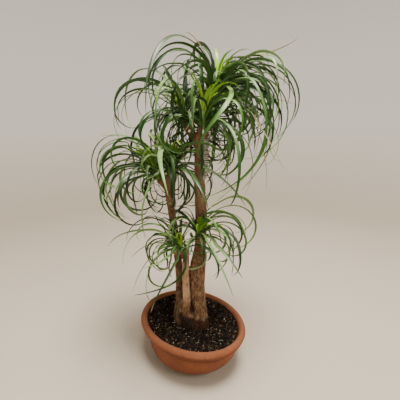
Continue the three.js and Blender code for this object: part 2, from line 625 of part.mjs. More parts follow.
// Blade: flat on top with a keel below, split alike on both faces, wider at its root.
function blade(leaf, count, extra) {
  const last = leafRule.points - 1;
  const across = new THREE.Vector3();
  const rings = [];
  const marks = marksOf(leaf);
  leaf.line.forEach((point, k) => {
    const before = leaf.line[Math.max(k - 1, 0)];
    const after = leaf.line[Math.min(k + 1, last)];
    const along = after.clone().sub(before).normalize();
    if (k === 0) across.set(0, 0, 1).cross(along);
    across.addScaledVector(along, -across.dot(along)).normalize();
    if (!marks.slice(0, count).includes(k)) return;
    const turned = across.clone().applyAxisAngle(along, radians(leaf.twist) * (k / last) ** 0.6);
    const under = turned.clone().cross(along);
    const half = bladeWidth(leaf, k / last) / 2 + extra;
    const keel = 0.32 * (half - extra) + 0.8 + extra;
    rings.push([
      point.clone().addScaledVector(turned, half).addScaledVector(under, -extra),
      point.clone().addScaledVector(under, keel),
      point.clone().addScaledVector(turned, -half).addScaledVector(under, -extra),
    ]);
  });
  const vertices = rings.flat().flatMap((point) => [point.x, point.y, point.z]);
  const triangles = [0, 1, 2];
  for (let r = 0; r < rings.length - 1; r += 1) {
    const [a, b, c] = [3 * r, 3 * r + 1, 3 * r + 2];
    const [d, e, f] = [a + 3, b + 3, c + 3];
    triangles.push(a, e, b, a, d, e, b, f, c, b, e, f, a, c, f, a, f, d);
  }
  const end = 3 * (rings.length - 1);
  triangles.push(end, end + 2, end + 1);
  return solidFrom(vertices, triangles);
}

// Core of a head: the packed leaf bases, swollen below and closed on top.
function headCore(head) {
  const { axis, across, along } = headAxes(head);
  const [height, radius] = head.core;
  const shape = [[gap, 0.62], [0.2 * height, 0.96], [0.45 * height, 1], [0.75 * height, 0.72], [height, 0.34]];
  return ringSolid(shape.map(([up, scale]) => {
    const ring = [];
    for (let k = 0; k < 10; k += 1) {
      const round = 2 * Math.PI * k / 10;
      const side = across.clone().multiplyScalar(Math.cos(round)).addScaledVector(along, Math.sin(round));
      ring.push(headPoint(head, up, scale * radius, side));
    }
    return ring;
  }));
}

function heartCore(head) {
  const { across, along } = headAxes(head);
  const [height, radius] = head.core;
  const shape = [[height + gap, 0.3], [height + 9, 0.28], [height + 20, 0.12]];
  return ringSolid(shape.map(([up, scale]) => {
    const ring = [];
    for (let k = 0; k < 7; k += 1) {
      const round = 2 * Math.PI * k / 7;
      const side = across.clone().multiplyScalar(Math.cos(round)).addScaledVector(along, Math.sin(round));
      ring.push(headPoint(head, up, scale * radius, side));
    }
    return ring;
  }));
}

// Keeps the main body: loose scraps and sealed hollows go.
function largest(body) {
  const parts = body.decompose();
  return parts.reduce((best, part) => (part.volume() > best.volume() ? part : best), parts[0]);
}

function crosses(one, other) {
  const a = one.boundingBox();
  const b = other.boundingBox();
  for (let axis = 0; axis < 3; axis += 1) {
    if (a.min[axis] > b.max[axis] || b.min[axis] > a.max[axis]) return false;
  }
  return one.intersect(other).volume() > 1e-6;
}

// A blade that still meets another piece ends short of it.
function endBefore(leaf, obstacle) {
  let count = leaf.count;
  while (count > 1 && crosses(blade(leaf, count, 0.25), obstacle)) count -= 1;
  return count;
}

function clearBlades(leaves, fixed) {
  for (const leaf of leaves) {
    leaf.count = marksOf(leaf).length;
    for (const [name, kind, body] of fixed) {
      if (leaf.name === name && leaf.kind === kind) continue;
      leaf.count = endBefore(leaf, body);
    }
  }
  const grown = [];
  for (const leaf of leaves) {
    if (leaf.count < 3) continue;
    leaf.shape = blade(leaf, leaf.count, 0.25);
    for (const other of grown) {
      if (other.count < 3 || (other.name === leaf.name && other.kind === leaf.kind)) continue;
      if (!crosses(leaf.shape, other.shape)) continue;
      const mine = endBefore(leaf, other.shape);
      const theirs = endBefore(other, leaf.shape);
      const shorter = mine / leaf.count >= theirs / other.count ? leaf : other;
      shorter.count = shorter === leaf ? mine : theirs;
      if (shorter.count >= 2) shorter.shape = blade(shorter, shorter.count, 0.25);
    }
    grown.push(leaf);
  }
  return leaves.filter((leaf) => leaf.count >= 3);
}

const group = new THREE.Group();

function addNode(name, body, look) {
  const mesh = body.getMesh();
  const geometry = new THREE.BufferGeometry();
  geometry.setAttribute('position', new THREE.Float32BufferAttribute(mesh.vertProperties, 3));
  geometry.setIndex(new THREE.Uint32BufferAttribute(mesh.triVerts, 1));
  geometry.computeVertexNormals();
  const [color, roughness] = colours[look];
  const node = new THREE.Mesh(geometry, new THREE.MeshStandardMaterial({ color, roughness, metalness: 0 }));
  node.name = name;
  group.add(node);
}

const trunk = makeTrunk();
const pipes = makePipes();
const grown = [...growLongLeaves()];
const fixed = [['', '', trunk]];
for (const [name, head] of Object.entries(heads)) {
  grown.push(...growLeaves(name, head), ...growHeart(name, head));
  fixed.push([name, 'leaves', headCore(head)], [name, 'heart', heartCore(head)]);
}
spread(grown);
const kept = clearBlades(grown, fixed);

addNode('pot', makePot(), 'pot');
addNode('soil', makeSoil(), 'soil');
addNode('trunk', trunk, 'trunk');
for (const [name, kind, core] of fixed.slice(1)) {
  const blades = kept.filter((leaf) => leaf.name === name && leaf.kind === kind);
  const body = blades.reduce((sum, leaf) => sum.add(blade(leaf, leaf.count, 0)), core);
  addNode(`${kind}_${name}`, largest(body), kind);
}

export default group;
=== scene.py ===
import bpy
import math
import numpy as np
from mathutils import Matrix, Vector, noise


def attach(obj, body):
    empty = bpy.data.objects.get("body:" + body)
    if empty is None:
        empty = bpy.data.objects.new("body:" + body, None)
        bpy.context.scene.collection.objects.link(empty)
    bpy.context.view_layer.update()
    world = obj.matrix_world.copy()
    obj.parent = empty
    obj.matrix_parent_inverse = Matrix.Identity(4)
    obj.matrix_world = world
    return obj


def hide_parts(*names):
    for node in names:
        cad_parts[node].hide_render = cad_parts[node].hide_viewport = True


# Potted ponytail palm. Sizes below are in millimetres; Blender's are metres.
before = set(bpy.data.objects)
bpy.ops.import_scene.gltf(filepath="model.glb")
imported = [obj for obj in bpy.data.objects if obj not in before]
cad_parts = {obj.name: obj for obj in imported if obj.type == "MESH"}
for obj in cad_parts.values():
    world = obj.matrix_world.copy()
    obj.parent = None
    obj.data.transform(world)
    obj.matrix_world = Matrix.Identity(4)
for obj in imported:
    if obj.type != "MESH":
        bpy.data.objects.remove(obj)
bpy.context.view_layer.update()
mm = 0.001


def hexColour(text):
    # sRGB hex to the linear values that Blender's sockets take
    parts = [int(text[i:i + 2], 16) / 255 for i in (1, 3, 5)]
    return tuple(c / 12.92 if c <= 0.04045 else ((c + 0.055) / 1.055) ** 2.4 for c in parts) + (1.0,)


def socketOf(sockets, name=None):
    # a number is a place in the list; of several sockets of one name only one is in use
    if isinstance(name, int):
        return sockets[name]
    return [one for one in sockets if one.enabled and name in (None, one.name)][0]


def setNode(tree, node, settings=None, links=None):
    # settings: attribute, socket or "stops" of a ramp -> value, where text for a socket is a colour
    # links: socket -> the node whose first output feeds it, or (node, output)
    for name, value in (settings or {}).items():
        if name == "stops":
            elements = node.color_ramp.elements
            while len(elements) < len(value):
                elements.new(0.5)
            for element, (position, colour) in zip(elements, value):
                element.position = position
                element.color = hexColour(colour) if isinstance(colour, str) else (colour,) * 3 + (1,)
        elif isinstance(name, str) and hasattr(node, name):
            setattr(node, name, value)
        else:
            value = hexColour(value) if isinstance(value, str) else value
            socketOf(node.inputs, name).default_value = value
    for name, source in (links or {}).items():
        giver, output = source if isinstance(source, tuple) else (source, None)
        tree.links.new(socketOf(giver.outputs, output), socketOf(node.inputs, name))
    return node


def addNode(tree, kind, settings=None, links=None):
    return setNode(tree, tree.nodes.new("ShaderNode" + kind), settings, links)


def newMaterial(name):
    material = bpy.data.materials.new(name)
    material.use_nodes = True
    tree = material.node_tree
    return material, tree, tree.nodes["Principled BSDF"]


def drawFrom(seed):
    state = [seed]

    def draw(low=0.0, high=1.0):
        state[0] = (state[0] * 16807) % 2147483647
        return low + (high - low) * state[0] / 2147483647
    return draw


def meshFrom(name, points, faces, smoothAngle=None):
    # points in mm
    mesh = bpy.data.meshes.new(name)
    mesh.from_pydata((np.asarray(points) * mm).tolist(), [], [tuple(f) for f in faces])
    mesh.update()
    piece = bpy.data.objects.new(name, mesh)
    bpy.context.collection.objects.link(piece)
    if smoothAngle is not None:
        smooth(piece, smoothAngle)
    return piece


def pick(piece):
    bpy.ops.object.select_all(action="DESELECT")
    piece.select_set(True)
    bpy.context.view_layer.objects.active = piece


def smooth(piece, angle):
    pick(piece)
    bpy.ops.object.shade_smooth_by_angle(angle=math.radians(angle))


def readPoints(piece):
    count = len(piece.data.vertices)
    out = np.empty(count * 3)
    piece.data.vertices.foreach_get("co", out)
    return out.reshape(count, 3) / mm


def writePoints(piece, points):
    piece.data.vertices.foreach_set("co", (np.asarray(points) * mm).ravel())
    piece.data.update()


def markPoints(piece, name, values):
    # values: one row of four numbers for each vertex
    layer = piece.data.attributes.new(name, "FLOAT_COLOR", "POINT")
    layer.data.foreach_set("color", np.asarray(values, dtype=np.float32).ravel())


def joinPieces(pieces, name):
    bpy.ops.object.select_all(action="DESELECT")
    for piece in pieces:
        piece.select_set(True)
    bpy.context.view_layer.objects.active = pieces[0]
    if len(pieces) > 1:
        bpy.ops.object.join()
    joined = bpy.context.view_layer.objects.active
    joined.name = joined.data.name = name
    return joined


def settleTransforms(piece):
    pick(piece)
    bpy.ops.object.transform_apply(location=True, rotation=True, scale=True)


def finishPiece(piece, material, replaced=None):
    piece.data.materials.clear()
    piece.data.materials.append(material)
    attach(piece, "root")
    if replaced:
        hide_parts(replaced)


def clamped(value):
    return min(1, max(0, value))


def noiseAt(x, y, z):
    return noise.noise(Vector((x, y, z)))


def smoothLine(points, perSpan):
    # Catmull-Rom through rows of numbers
    points = np.asarray(points, float)
    padded = np.vstack([2 * points[0] - points[1], points, 2 * points[-1] - points[-2]])
    t = np.arange(perSpan)[:, None] / perSpan
    rows = []
    for k in range(1, len(padded) - 2):
        a, b, c, d = padded[k - 1:k + 3]
        rows.append(0.5 * (2 * b + (c - a) * t + (2 * a - 5 * b + 4 * c - d) * t ** 2
                           + (3 * b - a - 3 * c + d) * t ** 3))
    return np.vstack(rows + [points[-1:]])


def ringForm(name, rings, sides, turn=0.0, centre=(0, 0)):
    # rings: half length, half width, height; a circle is extruded and resized from ring to ring
    bpy.ops.object.select_all(action="DESELECT")
    halfX, halfY, height = rings[0]
    bpy.ops.mesh.primitive_circle_add(vertices=sides, radius=1, fill_type="NGON")
    piece = bpy.context.object
    piece.name = piece.data.name = name
    bpy.ops.object.mode_set(mode="EDIT")
    bpy.ops.transform.resize(value=(halfX * mm, halfY * mm, 1), center_override=(0, 0, 0))
    bpy.ops.transform.translate(value=(0, 0, height * mm))
    for nextX, nextY, nextHeight in rings[1:]:
        bpy.ops.mesh.extrude_region_move(
            TRANSFORM_OT_translate={"value": (0, 0, (nextHeight - height) * mm)})
        bpy.ops.transform.resize(value=(nextX / halfX, nextY / halfY, 1),
                                 center_override=(0, 0, nextHeight * mm))
        halfX, halfY, height = nextX, nextY, nextHeight
    bpy.ops.mesh.select_all(action="SELECT")
    bpy.ops.mesh.normals_make_consistent(inside=False)
    bpy.ops.object.mode_set(mode="OBJECT")
    piece.rotation_euler[2] = math.radians(turn)
    piece.location = (centre[0] * mm, centre[1] * mm, 0)
    settleTransforms(piece)
    return piece


print("helpers ready")


# Bowl: red earthenware, pressed in a mould, rim finished on the wheel, unglazed

bowlPlan = {
    "halfLong": 200, "halfShort": 162.5, "turn": -45, "sides": 128,
    "rounding": 41, "ovalFrom": 113,    # the foot is almost round, the rim is not
    "body": [[72, 0], [62, 4], [44, 15], [28.5, 34], [23, 58], [22, 86], [21.8, 108], [21.6, 113.4]],
    "ledge": [[19.6, 114.6], [14, 114.2], [6.5, 114]],
    "band": [[3.9, 115.2], [3, 117.2], [3, 119.4], [3.9, 120.8]],
    "roll": [[2, 121.8], [0.4, 124.2], [0.2, 127.6], [1.9, 132.2], [5.4, 136.4], [10, 138.7], [14.5, 138.2],
             [18.6, 135.2], [22, 129], [24.4, 121]],
    "inside": [[32, 104], [33, 74], [38.5, 40], [51, 22], [66, 14]],
    "unevenness": 0.8, "lumps": (70, 22),    # mm, how far the wall wanders and over what sizes
}


def bowlRings(profile):
    plan = bowlPlan
    rings = []
    for inset, z in profile:
        shorter = plan["rounding"] * (1 - min(z, plan["ovalFrom"]) / plan["ovalFrom"]) ** 2
        rings.append((plan["halfLong"] - shorter - inset, plan["halfShort"] - inset, z))
    return rings


def makeBowl():
    plan = bowlPlan
    profile = np.vstack([smoothLine(plan["body"], 5), smoothLine(plan["ledge"], 2),
                         smoothLine(plan["band"], 3), smoothLine(plan["roll"] + plan["inside"], 4)])
    bowl = ringForm("bowl", bowlRings(profile.tolist()), plan["sides"], plan["turn"])
    points = readPoints(bowl)
    moved = points.copy()
    for i, (x, y, z) in enumerate(points):
        if z < 1:
            continue    # the foot stays flat
        out = Vector((x, y, 0)).normalized()
        wide, small = plan["lumps"]
        lump = noise.noise(Vector((x, y, 2.5 * z)) / wide) + 0.35 * noise.noise(Vector((x, y, 5 * z)) / small)
        moved[i] += np.array(out) * lump * plan["unevenness"]
    writePoints(bowl, moved)
    smooth(bowl, 60)
    return bowl


def terracotta():
    # Red earthenware, unglazed: matt, grainy, a little paler on the rim's top
    material, tree, shader = newMaterial("unglazedTerracotta")
    place = addNode(tree, "TexCoord"), "Object"
    clouds = addNode(tree, "TexNoise", {"Scale": 14.0, "Detail": 5.0, "Roughness": 0.6},
                     {"Vector": place})  # patches of about 70 mm
    mottle = addNode(tree, "TexNoise", {"Scale": 120.0, "Detail": 4.0, "Roughness": 0.65},
                     {"Vector": place})  # mottling of about 8 mm
    body = addNode(tree, "ValToRGB", {"stops": [(0.3, "#6c3b25"), (0.5, "#7a462e"), (0.7, "#875238")]},
                   {"Fac": clouds})
    grain = addNode(tree, "ValToRGB", {"stops": [(0.36, "#673721"), (0.62, "#8d573b")]}, {"Fac": mottle})
    colour = addNode(tree, "Mix", {"data_type": "RGBA", "Factor": 0.35}, {"A": body, "B": grain})
    height = addNode(tree, "SeparateXYZ", {}, {"Vector": place}), "Z"
    # the rim's top is paler
    high = addNode(tree, "MapRange", {"From Min": 0.128, "From Max": 0.139, "To Max": 0.4}, {"Value": height})
    # painted shade: the body is darkened towards the foot, and most of all in the angle just under the band,
    # where the band's shadow falls
    bodyShadeStops = [(0.0, 0.8), (0.03, 0.45), (0.08, 0.0), (0.091, 0.15), (0.098, 1.0), (0.1135, 1.0), (0.1147, 0.0)]
    low = addNode(tree, "ValToRGB", {"stops": bodyShadeStops}, {"Fac": height})
    # painted shade in the groove of the band
    grooveShadeStops = [(0.1182, 0.0), (0.1198, 0.85), (0.1208, 0.85), (0.1226, 0.0)]
    groove = addNode(tree, "ValToRGB", {"stops": grooveShadeStops}, {"Fac": height})
    # mixed in: the paler rim top, the painted shade on the body and under the band, and the painted shade in
    # the groove
    for share, tint in ((high, "#875536"), (low, "#542a18"), (groove, "#4f2818")):
        colour = addNode(tree, "Mix", {"data_type": "RGBA", "B": tint}, {"Factor": share, "A": colour})
    pores = addNode(tree, "TexNoise", {"Scale": 650.0, "Detail": 3.0}, {"Vector": place})
    swirl = addNode(tree, "Mapping", {"Scale": (12.0, 12.0, 240.0)}, {"Vector": place})
    lines = addNode(tree, "TexNoise", {"Scale": 1.0, "Detail": 3.0}, {"Vector": swirl})
    relief = addNode(tree, "Math", {"operation": "ADD"}, {0: pores, 1: lines})
    bump = addNode(tree, "Bump", {"Strength": 0.35, "Distance": 0.0006}, {"Height": relief})
    setNode(tree, shader, {"Roughness": 0.86, "Specular IOR Level": 0.25},
            {"Base Color": colour, "Normal": bump})
    return material


bowl = makeBowl()
finishPiece(bowl, terracotta(), "pot")
print("bowl done")


# Camera, floor and lights

viewPlan = {
    "place": (29.56, -884.6, 778.1), "pitch": 13.8, "lens": 25.83, "sensor": 36,
    # metres: where the floor starts to sweep up, the radius of the sweep, the wall's top
    "flat": 2.2, "sweep": 1.2, "top": 5.0, "sides": 96,
    "floor": "#c2b6a5", "wall": "#d6d4ce",
    "aim": (0, 0, 0.45), "world": "#e9e7e3", "worldStrength": 0.17,
}


def makeView():
    bpy.ops.object.camera_add(location=[v * mm for v in viewPlan["place"]],
                              rotation=(math.radians(90 - viewPlan["pitch"]), 0, 0))
    camera = bpy.context.object
    camera.data.sensor_width = viewPlan["sensor"]
    camera.data.lens = viewPlan["lens"]
    camera.data.clip_start = 0.01
    bpy.context.scene.camera = camera


def makeStage():
    # a round floor whose edge sweeps up far from the plant on all sides
    flat, sweep, sides = viewPlan["flat"], viewPlan["sweep"], viewPlan["sides"]
    profile = [(0.05, 0), (flat, 0)] + [(flat + sweep * math.sin(a), sweep - sweep * math.cos(a))
                                        for a in np.linspace(0.1, math.pi / 2, 9)]
    profile.append((3.4, viewPlan["top"]))
    points = [(r * math.cos(t), r * math.sin(t), z) for r, z in profile
              for t in np.linspace(0, 2 * math.pi, sides, endpoint=False)]
    faces = [(a * sides + k, a * sides + (k + 1) % sides, (a + 1) * sides + (k + 1) % sides,
              (a + 1) * sides + k)
             for a in range(len(profile) - 1) for k in range(sides)]
    faces.append(tuple(range(sides - 1, -1, -1)))
    stage = meshFrom("studioFloor", np.array(points) / mm, faces, 60)
    material, tree, shader = newMaterial("paleFloor")
    place = addNode(tree, "TexCoord"), "Object"
    height = addNode(tree, "SeparateXYZ", {}, {"Vector": place}), "Z"
    tint = addNode(tree, "ValToRGB", {"stops": [(0.0, viewPlan["floor"]), (0.9, viewPlan["wall"])]},
                   {"Fac": height})
    setNode(tree, shader, {"Roughness": 0.9, "Specular IOR Level": 0.2}, {"Base Color": tint})
    stage.data.materials.append(material)


lightPlan = [
    # name, place in m, size in m, power in W, colour
    ("overhead", (0.3, -0.4, 3.2), 1.3, 194.0, "#fffaf2"),
    ("frontRight", (1.6, -1.8, 2.4), 1.0, 30.0, "#fffaf4"),
    ("leftFill", (-2.4, -1.2, 1.5), 1.8, 4.0, "#f4f8ff"),
]


def makeLights():
    for name, place, size, power, colour in lightPlan:
        bpy.ops.object.light_add(type="AREA", location=place)
        light = bpy.context.object
        light.name = name
        light.data.shape = "DISK"
        light.data.size = size
        light.data.energy = power
        light.data.color = hexColour(colour)[:3]
        light.rotation_euler = (Vector(viewPlan["aim"]) - Vector(place)).to_track_quat("-Z", "Y").to_euler()
    world = bpy.data.worlds.new("softWorld")
    bpy.context.scene.world = world
    world.use_nodes = True
    back = world.node_tree.nodes["Background"]
    back.inputs["Color"].default_value = hexColour(viewPlan["world"])
    back.inputs["Strength"].default_value = viewPlan["worldStrength"]


makeView()
makeStage()
makeLights()
print("view, floor and lights done")


# Trunk: three stems on one swollen foot, corky below, ringed with leaf scars above

stemLines = {
    # x, y, z and radius along each stem and branch
    "right": [[25, -27, 112, 29], [28, -28, 150, 27], [27, -27, 185, 25.5], [25, -26, 221, 24],
              [21, -24, 275, 24], [22, -22, 336, 26], [27, -22, 380, 22.5], [31, -22, 421, 18.5],
              [33, -22, 518, 19], [29, -20, 598, 16.5], [28, -18, 689, 16], [31, -18, 748, 16.5],
              [35, -18, 785, 14]],
    "left": [[-42, 4, 112, 18], [-46, 3, 155, 16], [-42, 4, 201, 13.5], [-41, 6, 258, 13],
             [-41, 6, 310, 13], [-50, 4, 424, 12.5], [-61, 0, 521, 12], [-71, -4, 594, 11.5],
             [-80, -7, 632, 10.5]],
    "middle": [[-13, -27, 112, 19], [-15, -30, 154, 17], [-14, -31, 190, 15], [-13.5, -31, 224, 14.5],
               [-15.5, -31, 279, 13], [-16.5, -32, 352, 11.5], [-13, -32, 421, 9.5]],
    "toB": [[29, -18, 735, 12], [40, -4, 765, 12.5], [54, 20, 796, 12], [64, 34, 818, 12.5]],
    "toC": [[29, -18, 725, 12], [14, -10, 755, 12], [0, -2, 775, 11.5], [-10, 2, 790, 12]],
    "toD": [[-74, -5, 600, 9.5], [-86, -9, 617, 10], [-96, -12, 628, 10.5]],
    "toE": [[-73, -5, 600, 9.5], [-66, -6, 620, 10], [-62, -6, 636, 10.5]],
    "toF": [[-16, -32, 362, 8], [-23, -37, 386, 8], [-30, -43, 407, 7.5]],
    "toG": [[31, -24, 408, 9], [27, -38, 432, 8.5], [22, -53, 455, 8]],
    "prunedLeft": [[-76, -6, 615, 9], [-78, -17, 638, 7.5], [-77, -22, 649, 7]],
    "prunedC": [[12, -10, 755, 9], [4, -30, 768, 8], [2, -38, 774, 7.5]],
    "leafBase": [[29, -22, 745, 9], [46, -34, 757, 6], [53, -40, 765, 4]],
}

# swellings low down, where the three stems run together
swellings = {
    "frontSwelling": [[-6, -27, 131, 23], [-5, -28, 165, 21], [-4, -28, 190, 17], [-3, -27, 212, 9]],
    "leftSwelling": [[-30, -14, 131, 24], [-30, -14, 165, 21], [-29, -14, 195, 16], [-29, -12, 222, 8]],
}

trunkPlan = {
    "footCentre": (-3, -10), "footHalf": (66, 38), "footTurn": -30, "footSides": 48, "footTop": 131,
    "footRings": [[100, 0.9], [112, 0.97], [122, 1], [131, 1], [143, 0.98], [152, 0.88], [158, 0.72],
                  [163, 0.5]],     # height and share of footHalf
    "voxel": 1.9,
    "scarSpacing": 6.5,      # mm between leaf scars on the upper stems
    "scarDepth": 0.55,
    "fissureDepth": 1.6,     # mm, cork of the lower stems
    "collarTop": 174,        # mm, top of the fibrous collar round the foot
    "corkTop": 440,          # mm, where cork gives way to ringed bark
    "smoothFrom": 205,       # mm, above this the middle stem is smooth
    # the creases and the patch below are darkened as painted shade
    "crease": (205, 430),    # mm, heights between which the stems press on each other
    "patch": (4, 196, 10, 17),    # x, z and half sizes of the sunken dark patch between the front stems
    "papery": (628, 782),    # mm, heights between which old leaf bases peel on the right
    "spots": [(-13, 319, 2.4, 1.0), (-12.5, 288, 3.0, 0.7)],    # x, z, width and depth of dark eyes
    "cutTops": {"middle": 423, "prunedLeft": 649, "prunedC": 774},
}


def stemTube(name, line):
    # a filled curve whose bevel follows the stem's thickness, turned into a mesh
    rows = smoothLine(line, 6)
    curve = bpy.data.curves.new(name, "CURVE")
    curve.dimensions = "3D"
    curve.bevel_depth = mm
    curve.bevel_resolution = 6
    curve.use_fill_caps = True
    spline = curve.splines.new("POLY")
    spline.points.add(len(rows) - 1)
    for point, (x, y, z, radius) in zip(spline.points, rows):
        point.co = (x * mm, y * mm, z * mm, 1)
        point.radius = radius
    tube = bpy.data.objects.new(name, curve)
    bpy.context.collection.objects.link(tube)
    pick(tube)
    bpy.ops.object.convert(target="MESH")
    tube = bpy.context.object
    bpy.ops.object.mode_set(mode="EDIT")
    bpy.ops.mesh.select_all(action="SELECT")
    bpy.ops.mesh.remove_doubles(threshold=0.00005)
    bpy.ops.mesh.normals_make_consistent(inside=False)
    bpy.ops.object.mode_set(mode="OBJECT")
    return tube


def makeFoot():
    plan = trunkPlan
    (halfX, halfY), (centreX, centreY) = plan["footHalf"], plan["footCentre"]
    rings = [(halfX * share, halfY * share, z) for z, share in plan["footRings"]]
    foot = ringForm("foot", rings, plan["footSides"], plan["footTurn"], plan["footCentre"])
    points = readPoints(foot)
    for i, (x, y, z) in enumerate(points):
        if z <= plan["footTop"]:
            continue
        side = math.atan2(y - centreY, x - centreX)
        furrow = 1 + 0.05 * math.sin(9 * side + 0.05 * z) + 0.03 * math.sin(15 * side - 0.08 * z)
        points[i][0] = centreX + (x - centreX) * furrow
        points[i][1] = centreY + (y - centreY) * furrow
    writePoints(foot, points)
    return foot


def nearestStem(points):
    # for each point: its stem, how much nearer it is than the next stem, way along it and offset in mm
    best = np.full(len(points), 1e9)
    other = np.full(len(points), 1e9)
    stem = np.full(len(points), -1)
    along = np.zeros(len(points))
    away = np.zeros((len(points), 3))
    for number, line in enumerate(stemLines.values()):
        rows = smoothLine(line, 4)
        run = 0.0
        for a, b in zip(rows[:-1], rows[1:]):
            way = b[:3] - a[:3]
            size = np.linalg.norm(way)
            t = np.clip((points - a[:3]) @ way / size ** 2, 0, 1)
            offset = points - a[:3] - t[:, None] * way
            radius = a[3] + (b[3] - a[3]) * t
            share = np.linalg.norm(offset, axis=1) / radius
            nearer = share < best
            changed = nearer & (stem != number)
            other[changed] = best[changed]
            beside = ~nearer & (stem != number)
            other[beside] = np.minimum(other[beside], share[beside])
            best[nearer] = share[nearer]
            stem[nearer] = number
            along[nearer] = run + t[nearer] * size
            away[nearer] = offset[nearer]
            run += size
    return stem, other - best, along, away


def roughness(place, size, octaves):
    # noise in several octaves, about -1 to 1
    return noise.fractal(Vector(place) / size, 0.9, 2.1, octaves)


def barkRelief(points, normals):
    plan = trunkPlan
    names = list(stemLines)
    stem, lead, along, away = nearestStem(points)
    out = points.copy()
    marks = np.zeros((len(points), 4))
    tones = np.zeros((len(points), 4))
    right = names.index("right")
    low, high = plan["papery"]
    creaseLow, creaseHigh = plan["crease"]
    patchX, patchZ, patchWide, patchHigh = plan["patch"]
    for i, (x, y, z) in enumerate(points):
        name = names[stem[i]]
        wander = noiseAt(x / 18, y / 18, z / 30)
        cork = clamped((plan["corkTop"] + 70 * wander - z) / 110)
        cork = cork if name in ("right", "left", "middle") or z < 200 else 0
        above = clamped((z - plan["smoothFrom"] - 12 * wander) / 40)
        smoothBark = 0.75 * above if name == "middle" else 0.0
        # fissures of uneven length between small raised plates
        plates = roughness((x, y, z / 2.6), 5.0, 4)
        grain = roughness((x + 40, y, z / 5.5), 3.4, 3)
        crack = clamped((-plates - 0.18) / 0.5) * (1 - smoothBark)
        # rings where leaves were: each dips at its upper edge
        phase = along[i] / plan["scarSpacing"] + 0.7 * wander
        phase += 0.3 * noiseAt(x / 6, y / 6, z / 9)
        saw = phase - math.floor(phase)
        ring = max(0, 1 - saw / 0.3) + 0.4 * saw
        strength = 0.55 + 0.45 * noise.noise(Vector((x / 9, y / 9, z / 14)) + Vector((5, 9, 2)))
        # a fibrous collar of old root bark, higher on the left
        top = plan["collarTop"] - 0.2 * x + 9 * wander + 4 * noiseAt(x / 9, y / 9, 3)
        fibre = clamped((top - z) / 7) * min(1, max(0.15, (x + 46 + 8 * wander) / 14))
        crease = clamped(1 - lead[i] / 0.3) if creaseLow < z < creaseHigh else 0
        shaggy = roughness((x, y, z / 3.2), 3.0, 3)
        push = cork * (1 - 0.6 * smoothBark) * (0.9 * plates + 0.5 * grain - plan["fissureDepth"] * crack)
        push -= (1 - 0.8 * cork) * plan["scarDepth"] * ring * strength * 1.6
        push += fibre * (1.5 * shaggy + 3.0) - 1.8 * crease * (1 - fibre)
        # the sunken patch low between the two front stems, darkened as painted shade, and dark eyes above it
        patch = math.exp(-((x - patchX) / patchWide) ** 2 - ((z - patchZ) / patchHigh) ** 2) if y < -30 else 0
        push -= 1.5 * patch
        spots = sum(size * math.exp(-((x - spotX) / wide) ** 2 - ((z - spotZ) / wide) ** 2)
                    for spotX, spotZ, wide, size in plan["spots"]) if y < -38 else 0
        # old papery leaf bases on the right of the tall stem
        face = away[i][0] / max(1e-6, float(np.linalg.norm(away[i])))
        paper = 0.0
        if stem[i] == right and low < z < high:
            edge = min((z - low) / 10, (high - z) / 14, 1)
            paper = clamped((face - 0.45 - 0.25 * wander) / 0.2) * edge
            push += paper * (1.3 + 0.7 * (1 - saw))
        out[i] += normals[i] * push
        # painted shade darkens the creases where stems press together and the sunken patch; cracks in the cork
        # and the dark eyes are the bark's own
        dark = min(1, 0.8 * crack * cork + 0.9 * crease + 1.3 * patch + spots)
        cut = max(0, 1 - abs(z - plan["cutTops"][name]) / 5) if name in plan["cutTops"] else 0
        marks[i] = (cork, ring * strength, dark, fibre)
        # the middle stem's cut top is as red as root bark, the others' are dry and pale
        redCut, paleCut = (cut, 0) if name == "middle" else (0, cut)
        # the right and middle stems are tan; a stem left at 0 gets the painted shade of the bark finish
        tan = {"right": 0.5, "middle": 0.5 + 0.5 * above}.get(name, 0.0)
        tones[i] = (max(paper, paleCut), tan, max(clamped((x - 2) / 14) * fibre, redCut), 1)
    return out, marks, tones


def makeTrunk():
    tubes = [stemTube(name, line) for name, line in {**stemLines, **swellings}.items()]
    trunk = joinPieces([makeFoot()] + tubes, "trunkBark")
    trunk.data.remesh_voxel_size = trunkPlan["voxel"] * mm
    pick(trunk)
    bpy.ops.object.voxel_remesh()
    smoother = trunk.modifiers.new("soften", "SMOOTH")
    smoother.factor = 0.5
    smoother.iterations = 3
    bpy.ops.object.modifier_apply(modifier=smoother.name)
    points = readPoints(trunk)
    normals = np.empty(len(points) * 3, dtype=np.float32)
    trunk.data.vertex_normals.foreach_get("vector", normals)
    moved, marks, tones = barkRelief(points, normals.reshape(-1, 3))
    writePoints(trunk, moved)
    markPoints(trunk, "barkMarks", marks)
    markPoints(trunk, "barkTones", tones)
    smooth(trunk, 75)
    return trunk


# stops along the grain: cork, the middle stem, ringed bark above, the fibrous collar, red root bark
# and dry leaf bases
barkTones = {
    "grey": [(0.32, "#281a12"), (0.45, "#573d2b"), (0.56, "#8a674b"), (0.72, "#bb9a77")],
    "tan": [(0.30, "#9a755a"), (0.5, "#cca584"), (0.75, "#e6c9ac")],
    "ringed": [(0.28, "#40291e"), (0.5, "#724c38"), (0.72, "#9e7458")],
    "fibres": [(0.35, "#0b0604"), (0.52, "#1f130d"), (0.66, "#3b281d"), (0.8, "#66503c")],
    "redRoot": [(0.35, "#1a0e09"), (0.52, "#392318"), (0.66, "#5d3f2d"), (0.8, "#8a6a4e")],
    "papery": [(0.3, "#a39c86"), (0.7, "#d8d2bf")],
}


